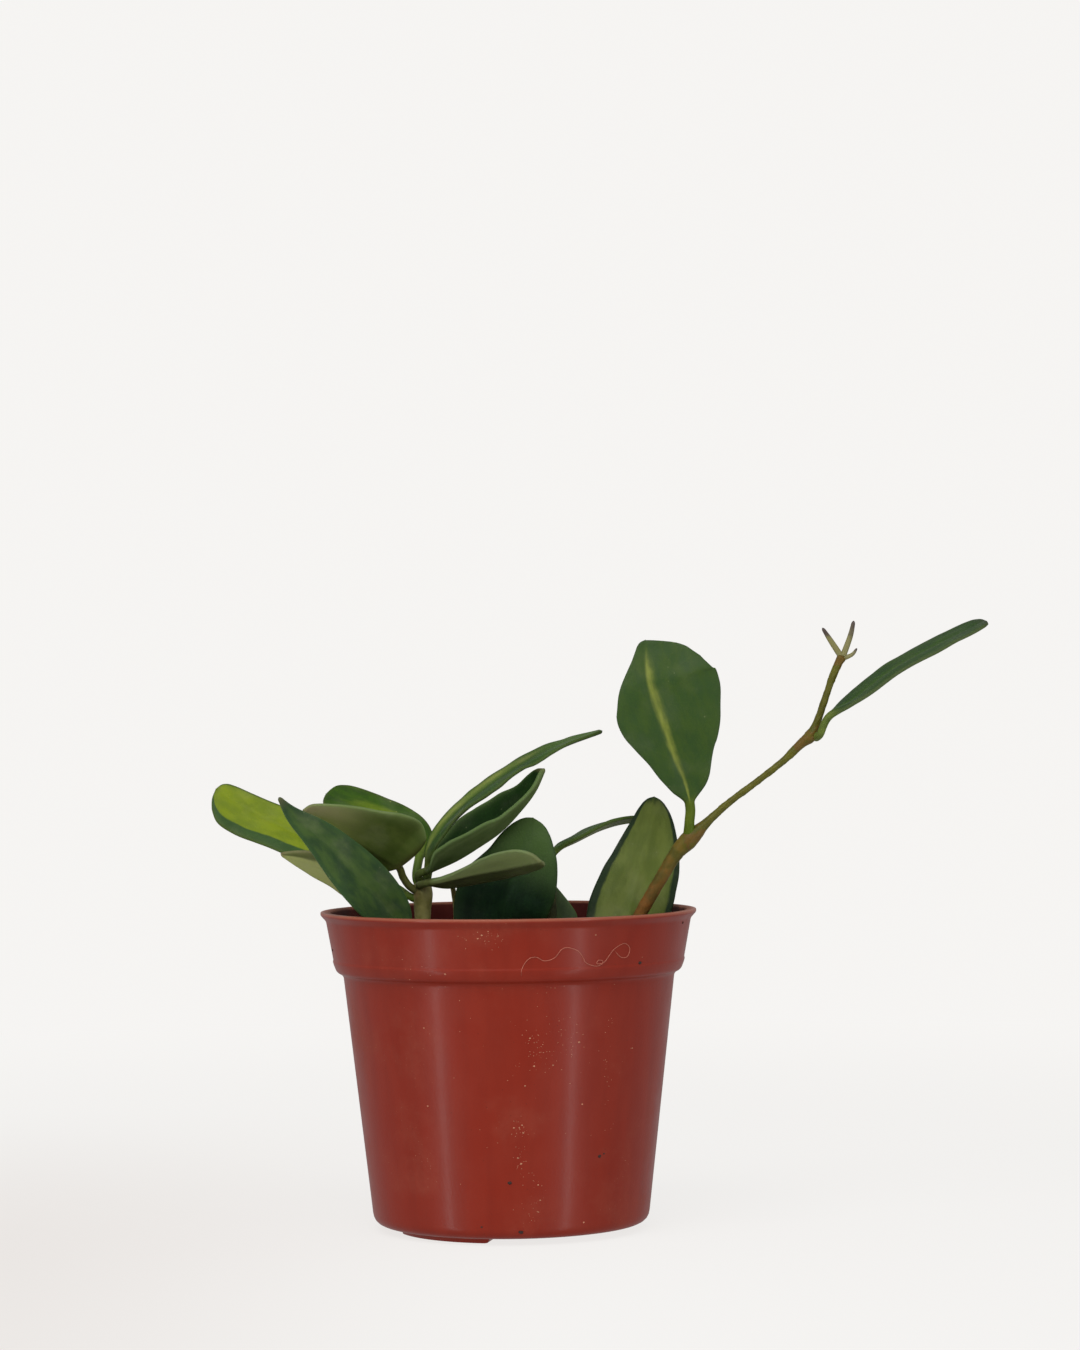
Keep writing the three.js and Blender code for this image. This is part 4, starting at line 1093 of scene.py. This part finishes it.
leafLongRight = {
    "node": "leaf_long_right", "slot": "leaf_bright", "seed": 45, "into": [-20.4, -2.9, 81.8],
    "midrib": [[-19.3, -2.3, 84.3], [-18.4, -1.5, 90], [-16, 0, 94.4], [-12.2, 1.6, 98.8],
                [-5.6, 4, 104.2], [3.2, 6, 110], [12.7, 8, 115], [23.2, 10, 118.6]],
    "stalk": 3, "stalkRadius": 1.05, "width": 8.7, "widest": 0.45, "base": [2.4, 0.6], "tip": [1.8, 0.6],
    "up": [[-0.85, -0.4, 0.3], [-0.42, -0.28, 0.86]], "fold": [12, 6],
    "look": {
        "upper": {"ground": (38, 66, 22), "cloud": (46, 76, 26), "pale": (124, 136, 62),
                  "paleCloud": (98, 116, 46), "far": (72, 98, 46), "farFrom": (0.6, 0.95),
                  "rib": (98, 112, 52), "ribShare": 0.1, "margin": (58, 76, 34), "veins": 0.0,
                  "zone": {"Centre": -0.5, "End": 0.86, "Feather": 0.45,
                           "Wobble": 0.15, "Margin": 0.3}},
        "under": {"ground": (60, 88, 34), "pale": (96, 114, 54), "rib": (104, 118, 62),
                  "margin": (60, 78, 34)},
        "rim": (74, 92, 42), "stalk": (84, 100, 34), "stalkDark": (58, 76, 24),
        "tip": (60, 72, 40), "tipShare": 0.5, "fleck": (164, 166, 110),
    },
}
makeLeaf("leaf_bright_long_right", leafLongRight)

leafChannelled = {
    "node": "leaf_channelled", "slot": "leaf_dark", "seed": 46, "into": [-20.6, -3.2, 82.6],
    "midrib": [[-21.4, -5.2, 84.7], [-18.7, -6.1, 86], [-12.8, -7.2, 88.5], [-7.6, -7.5, 91.5],
                [-1.8, -7.4, 95.4], [3, -7.2, 100.3], [6.4, -7, 104.7], [8.8, -7, 109.8]],
    "stalk": 2,
    "left": [2, 4.7, 7.2, 8.8, 9.5, 9.5, 8.8, 7.6, 6, 4.4, 2.2],
    "right": [2.2, 5.7, 7.1, 7.2, 6.8, 5.9, 4.6, 3.4, 2.4, 1.6, 1],
    "up": [[-0.64, -0.12, 0.76], [-0.79, -0.14, 0.6]], "fold": [50, 44], "frill": 0.15,
    "look": {
        # the upper side's very dark ground, cloud and margin are painted shade inside the fold
        "upper": {"ground": (16, 36, 10), "cloud": (20, 42, 12), "pale": (66, 94, 26),
                  "rib": (64, 90, 34), "margin": (10, 26, 10), "veins": 0.0,
                  "zone": {"Centre": 0.05, "Reach": 0.42, "Feather": 0.6, "Margin": 0.5}},
        "under": {"ground": (88, 104, 62), "cloud": (74, 92, 50), "pale": (116, 132, 84),
                  "rib": (100, 116, 72), "margin": (118, 134, 88), "marginShare": 0.4,
                  "veins": 0.015, "zone": {"Centre": 0.8, "Reach": 0.25, "Feather": 0.6, "Margin": 0.4}},
        "rim": (96, 118, 70), "shine": 0.03, "stalk": (84, 98, 48), "stalkDark": (64, 74, 36),
        "tip": (96, 96, 60), "fleck": (96, 110, 70), "dust": 0.03,
    },
}
makeLeaf("leaf_folded_middle", leafChannelled)

leafLevel = {
    "node": "leaf_level", "slot": "leaf_pale", "seed": 47, "into": [-20.5, -3.2, 82.0],
    "midrib": [[-20.9, -6.2, 82.4], [-16.2, -10, 83.6], [-8.9, -17, 85.4], [-1.9, -23, 86.8],
                [4, -28, 88], [7.7, -31.2, 88.8]],
    "stalk": 3,
    "left": [2, 4.7, 5.8, 6.1, 6.1, 5.9, 5.5, 5, 4.5, 3.8, 2.4],
    "right": [0, 0.4, 0.9, 1.6, 2.4, 3.4, 4.4, 5.1, 5.4, 5.2, 3.6],
    "up": [[0, 0.64, 0.77], [0, 0.64, 0.77]], "fold": [10, 8], "frill": 0.12,
    "look": {
        "upper": {"ground": (60, 84, 38), "pale": (90, 110, 54), "rib": (112, 124, 74),
                  "margin": (56, 72, 36)},
        "under": {"ground": (92, 104, 62), "cloud": (80, 92, 54), "pale": (126, 140, 88),
                  "rib": (128, 140, 92), "ribShare": 0.25, "margin": (104, 118, 76),
                  "marginShare": 0.2, "veins": 0.02,
                  "zone": {"Centre": 0.55, "Reach": 0.6, "End": 1.3, "Feather": 0.2,
                           "Wobble": 0.12, "Margin": 0.35}},
        "rim": (106, 122, 78), "stalk": (96, 106, 56), "stalkDark": (74, 80, 42),
        "tip": (112, 110, 74), "tipShare": 0.5, "fleck": (168, 172, 128),
    },
}
makeLeaf("leaf_level_front", leafLevel)

leafBroadMiddle = {
    "node": "leaf_broad_middle", "slot": "leaf_dark", "seed": 48, "into": [10.2, 6, 65.2],
    "midrib": [[8.6, 4.9, 65], [6.2, 3.6, 64.8], [2.8, 1.8, 65.8], [-0.2, 0.4, 69], [-1.4, -1, 74],
                [0.2, -2.6, 81], [2.6, -3.2, 87.7], [4.2, -2.8, 93], [6.1, -2, 98]],
    "stalk": 9,
    "left": [0, 8, 11.4, 12, 12.1, 11.3, 9.3, 7.7, 6.3, 4.3, 1.8],
    "right": [0, 8, 10.2, 10.6, 11.1, 11.4, 10.9, 9.6, 8, 6, 2.9],
    "up": [[0.1, -0.9, 0.4], [-0.1, -1, 0.1]], "fold": [10, 8], "frill": 0.1,
    "look": {
        # the upper side is dark at the base and lighter towards the tip: painted shade under the leaves
        # in front
        "upper": {"ground": (22, 44, 24), "cloud": (14, 32, 18), "pale": (32, 58, 32),
                  "far": (64, 88, 40), "farFrom": (0.42, 0.85),
                  "rib": (50, 76, 40), "ribShare": 0.06, "margin": (18, 36, 18),
                  "veins": 0.01, "zone": {"Centre": 0.15, "Reach": 0.3, "Start": 0.3, "Feather": 0.5,
                                          "Margin": 0.5}},
        "under": {"ground": (76, 98, 56), "pale": (96, 116, 70), "rib": (112, 128, 84),
                  "margin": (72, 88, 54)},
        "rim": (44, 66, 34), "stalk": (84, 98, 42), "stalkDark": (64, 74, 34),
        "tip": (72, 92, 42), "tipShare": 0.4, "fleck": (150, 164, 120), "flecks": 0.12,
        "rough": 0.4, "dust": 0.06,
    },
}
makeLeaf("leaf_broad_middle", leafBroadMiddle)

leafSmallMiddle = {
    "node": "leaf_small_middle", "slot": "leaf_pale", "seed": 49, "into": [10.3, 6, 64],
    "midrib": [[12.6, 7.3, 66.4], [12, 9, 69.4], [10.6, 10.4, 74], [9.4, 11.6, 79],
                [8.4, 12.5, 84.4]],
    "stalk": 3, "width": 11.5, "widest": 0.25, "base": [2.6, 0.5], "tip": [1.3, 0.9],
    "up": [[0, -1, 0.2], [0, -1, 0.2]], "fold": [8, 6],
    "look": {
        "upper": {"ground": (66, 82, 50), "cloud": (54, 70, 42), "pale": (78, 94, 56),
                  "rib": (104, 124, 74), "margin": (56, 78, 42),
                  "zone": {"Reach": 0.4, "Feather": 0.4}},
        "under": {"ground": (88, 106, 62), "pale": (104, 120, 74), "rib": (120, 132, 88),
                  "margin": (82, 96, 58)},
        "rim": (84, 106, 60), "stalk": (86, 98, 48), "tip": (88, 98, 54),
        "fleck": (168, 170, 126),
    },
}
makeLeaf("leaf_small_middle", leafSmallMiddle)

leafArching = {
    "node": "leaf_arching", "slot": "leaf_dark", "seed": 50, "into": [10.4, 6.1, 85.6],
    "midrib": [[10.2, 8.6, 85.2], [10.6, 9.3, 88.3], [12.6, 10.6, 90.5], [16.4, 12, 92.2],
                [22.5, 14, 94.9], [28.7, 16, 96.4], [36, 18, 96.6]],
    "stalk": 4, "width": 9.8, "widest": 0.5, "base": [1.8, 0.9], "tip": [1.7, 0.8],
    "up": [[-0.35, -0.15, 0.92], [0, 0.25, 0.95]], "fold": [12, 8], "frill": 0.12,
    "look": {
        "upper": {"ground": (56, 82, 30), "cloud": (46, 70, 26), "pale": (70, 96, 40),
                  "rib": (80, 100, 46), "margin": (44, 66, 26), "veins": 0.0,
                  "zone": {"Reach": 0.4, "Feather": 0.4, "Margin": 0.4}},
        "under": {"ground": (116, 134, 62), "cloud": (100, 120, 50), "pale": (120, 138, 68),
                  "rib": (122, 138, 76), "margin": (90, 108, 52), "veins": 0.0},
        "rim": (72, 92, 42), "stalk": (90, 110, 42), "stalkDark": (70, 88, 34),
        "tip": (90, 104, 50), "fleck": (168, 170, 116),
    },
}
makeLeaf("leaf_arching_middle", leafArching)

leafBroadRight = {
    "node": "leaf_broad_right", "slot": "leaf_pale", "seed": 51, "into": [24.8, 0.4, 63.4],
    "midrib": [[26.6, 1.9, 65.2], [27.4, 3.6, 67.4], [28.9, 5.4, 74.1], [30.9, 7, 81.2],
                [32.7, 8, 86.5], [34.8, 9, 94.9], [35.6, 9, 102.5]],
    "stalk": 2.5,
    "left": [0, 8.7, 10, 10.2, 10.2, 9.8, 9, 7.8, 6.1, 4.2, 1.8],
    "right": [0, 8.7, 10, 9.8, 9.2, 8.5, 7.6, 6.6, 5.4, 3.9, 1.8],
    "up": [[0, 1, 0.1], [0, 1, 0]], "fold": [10, 8], "frill": 0.1,
    "look": {
        "upper": {"ground": (42, 70, 28), "pale": (96, 114, 50), "rib": (104, 118, 62),
                  "margin": (40, 60, 30)},
        "under": {"ground": (34, 52, 26), "cloud": (26, 44, 22), "pale": (104, 116, 52),
                  "paleCloud": (90, 104, 44), "rib": (106, 118, 60), "ribShare": 0.06,
                  "margin": (26, 42, 24), "marginShare": 0.6, "veins": 0.015,
                  "zone": {"Centre": -0.02, "Reach": 0.86, "End": 1.0, "Feather": 0.08,
                           "Wobble": 0.14}},
        "rim": (34, 52, 28), "stalk": (98, 110, 50), "stalkDark": (76, 84, 38),
        "tip": (60, 76, 34), "tipShare": 0.4, "tipFrom": 0.97, "fleck": (126, 134, 78), "flecks": 0.3,
        "rough": 0.45,
    },
}
makeLeaf("leaf_broad_right", leafBroadRight)

leafVineUpright = {
    "node": "leaf_vine_upright", "slot": "leaf_dark", "seed": 52, "into": [43.4, -2, 92.4],
    "midrib": [[43.5, -3, 96.4], [43.7, -3.2, 100.3], [42.4, -4, 106.2], [39.9, -4.5, 112.4],
                [37.7, -5, 119], [35.7, -5, 125], [34.1, -5, 130], [33.5, -4, 135.4],
                [33.4, -3, 140.2]],
    "stalk": 4.2, "stalkRadius": 1.2,
    "left": [0, 3.4, 5.1, 6.3, 8.3, 10, 10.3, 8.6, 5.4, 3, 1.6],
    "right": [0, 4.8, 8, 10.8, 13, 14.6, 16, 16.3, 15.2, 12.4, 8.6],
    "up": [[0, -1, 0.1], [0, -1, 0.25]], "fold": [8, 4], "frill": 0.08,
    "look": {
        "upper": {"ground": (58, 80, 32), "cloud": (50, 74, 34), "pale": (136, 144, 62),
                  "paleCloud": (112, 122, 50), "rib": (118, 126, 60),
                  "margin": (44, 66, 32), "veins": 0.02,
                  "zone": {"Reach": 0.14, "End": 0.98,
                           "Feather": 0.19, "Wobble": 0.16, "Margin": 0.4}},
        "under": {"ground": (86, 106, 54), "pale": (114, 128, 70), "rib": (128, 140, 84),
                  "margin": (80, 96, 54)},
        "rim": (56, 78, 38), "stalk": (92, 106, 26), "stalkDark": (76, 94, 22),
        "tip": (56, 76, 38), "tipShare": 0.4, "fleck": (160, 168, 116), "flecks": 0.12,
        "rough": 0.4, "dust": 0.06,
    },
}
makeLeaf("leaf_upright_on_vine", leafVineUpright)

leafVineTip = {
    "node": "leaf_vine_tip", "slot": "leaf_dark", "seed": 53, "into": [74.2, -1, 116.6],
    "midrib": [[75, -3.3, 117.2], [75.8, -3.5, 119.2], [76.9, -3.2, 121.1], [78.8, -2.6, 122.6],
                [84.1, -1, 125.7], [93.6, 1.5, 132.6], [104, 3.5, 138.1], [110.6, 4.5, 141.3],
                [116.3, 5.5, 144.2]],
    "stalk": 5,
    "left": [0, 3.4, 4.5, 4.8, 5, 5.1, 5.3, 5.5, 5.5, 5, 3.6],
    "right": [0, 3.2, 4.2, 4.2, 4.2, 4.4, 4.8, 5.3, 5.4, 5.2, 3.8],
    "up": [[-0.6, -0.26, 0.8], [-0.4, -0.28, 0.9]], "fold": [8, 5], "frill": 0.05,
    "look": {
        # the pale greyish margin and rim are a painted highlight along the edge
        "upper": {"ground": (48, 74, 28), "cloud": (40, 66, 28), "pale": (58, 84, 34),
                  "rib": (62, 86, 40), "ribShare": 0.1, "margin": (66, 80, 44), "veins": 0.0,
                  "zone": {"Reach": 0.4, "Feather": 0.5, "Wobble": 0.1, "Margin": 0.5}},
        "under": {"ground": (80, 100, 50), "pale": (96, 114, 60), "rib": (112, 126, 76),
                  "margin": (74, 90, 50)},
        "rim": (76, 88, 52), "stalk": (94, 108, 44), "stalkDark": (72, 86, 34),
        "tip": (46, 54, 32), "tipShare": 0.7, "tipFrom": 0.93, "fleck": (96, 110, 66), "flecks": 0.03,
        "dust": 0.04,
    },
}
makeLeaf("leaf_at_vine_tip", leafVineTip)
print("leaves made")


# Studio: a pale bowl that rises far away on every side, a soft light above and two upright strips

studio = {
    "innerRings": [0.3, 0.9], "floorRadius": 1.9, "curve": 1.3, "wall": 2.4,
    "arcRows": 40, "sides": 96,
    "paper": 0.14, "glow": (0.921, 0.908, 0.891, 1),  # how much of the paper's light is reflected
    "tone": (0.93, 0.92, 0.9, 1),
    "floorShadow": (0.83, 0.795, 0.77, 1),  # a painted shadow: the glow dimmed in front of the pot on the left
    "shadowAcross": (-0.13, 0.02), "shadowDeep": (-0.05, 0.3), "shadowReach": (0.35, 1.2),
    "fadeFrom": 0.2, "fadeTo": 0.6,  # metres from the pot over which the paper turns to pure glow
    "sky": 0.46,
    # azimuth, distance, watts, width and height of the upright strips
    "strips": [(-52, 0.85, 2.0, 0.05, 1.0), (46, 0.8, 1.8, 0.05, 1.0)],
    "stripHeight": -0.05, "aim": 0.07,  # the heights of the strips and of what all lights face
    "key": (-15, 48, 1.6, 1.2, 14),  # azimuth, height angle, distance, size, watts
}


def makeStudio(s):
    arc = np.linspace(0, np.pi / 2, s["arcRows"])
    radius = np.concatenate([s["innerRings"], s["floorRadius"] + s["curve"] * np.sin(arc)])
    height = np.concatenate([[0] * len(s["innerRings"]), s["curve"] * (1 - np.cos(arc))])
    radius, height = np.append(radius, radius[-1]), np.append(height, height[-1] + s["wall"])
    turn = around(s["sides"])
    rings = np.stack([radius[:, None] * np.sin(turn), -radius[:, None] * np.cos(turn),
                      height[:, None] + 0 * turn], -1)[::-1] / mm
    faces = skinFaces(len(radius), s["sides"], closeStart=False)
    floor = makePiece("studio_floor", closedSkin(rings, (0, 0, 0), (0, 0, 0)), faces, paperLook(s))
    floor.visible_glossy = False  # white paper all round would grey the darker leaves
    floor.visible_diffuse = False
    floor.visible_shadow = False  # the strips reach below it
    world = bpy.data.worlds.new("studioSky")
    world.use_nodes = True
    sky = world.node_tree.nodes["Background"]
    sky.inputs["Color"].default_value = (1, 1, 1, 1)
    sky.inputs["Strength"].default_value = s["sky"]
    scene.world = world
    for azimuth, distance, watts, width, tall in s["strips"]:
        turn = math.radians(azimuth)
        place = Vector((distance * math.sin(turn), -distance * math.cos(turn), s["stripHeight"]))
        makeLight("strip_%d" % (azimuth + 90), place, watts, width, tall, s["aim"])
    azimuth, angle, distance, size, watts = s["key"]
    turn, rise = math.radians(azimuth), math.radians(angle)
    place = distance * Vector((math.sin(turn) * math.cos(rise), -math.cos(turn) * math.cos(rise),
                               math.sin(rise)))
    makeLight("soft_key", place, watts, size, size, s["aim"])


def paperLook(s):
    # Near the pot the paper reflects some light. Further off it turns into an even glow.
    material, tree = newTree("studioPaper")
    point, black = objectPoint(tree), (0, 0, 0, 1)
    across, deep, _ = parts(point)
    away = addNode(tree, "VectorMath", {0: point}, operation="LENGTH")["Value"]
    share = away.ramp(s["fadeFrom"], s["fadeTo"], s["paper"], 0.0)
    # a painted shadow on the floor, in front of the pot on the left
    floorShadow = across.ramp(*s["shadowAcross"], 1.0, 0.0) * deep.ramp(*s["shadowDeep"], 1.0, 0.0)
    floorShadow = floorShadow * away.ramp(*s["shadowReach"], 1.0, 0.0)
    finish(tree, {
        "Base Color": blend(share, black, s["tone"]),
        "Emission Color": blend(share, blend(floorShadow, s["glow"], s["floorShadow"]), black),
        "Emission Strength": 1.0, "Roughness": 1.0, "Specular IOR Level": 0.0})
    return material


def makeLight(name, place, watts, width, tall, aim):
    light = bpy.data.lights.new(name, "AREA")
    light.shape, light.size, light.size_y, light.energy = "RECTANGLE", width, tall, watts
    lamp = bpy.data.objects.new(name, light)
    scene.collection.objects.link(lamp)
    lamp.location = place
    lamp.rotation_euler = (Vector((0, 0, aim)) - place).to_track_quat("-Z", "Y").to_euler()
    lamp.visible_camera = False


makeStudio(studio)
scene.view_settings.view_transform = "Standard"
print("studio made")

print("scene finished")
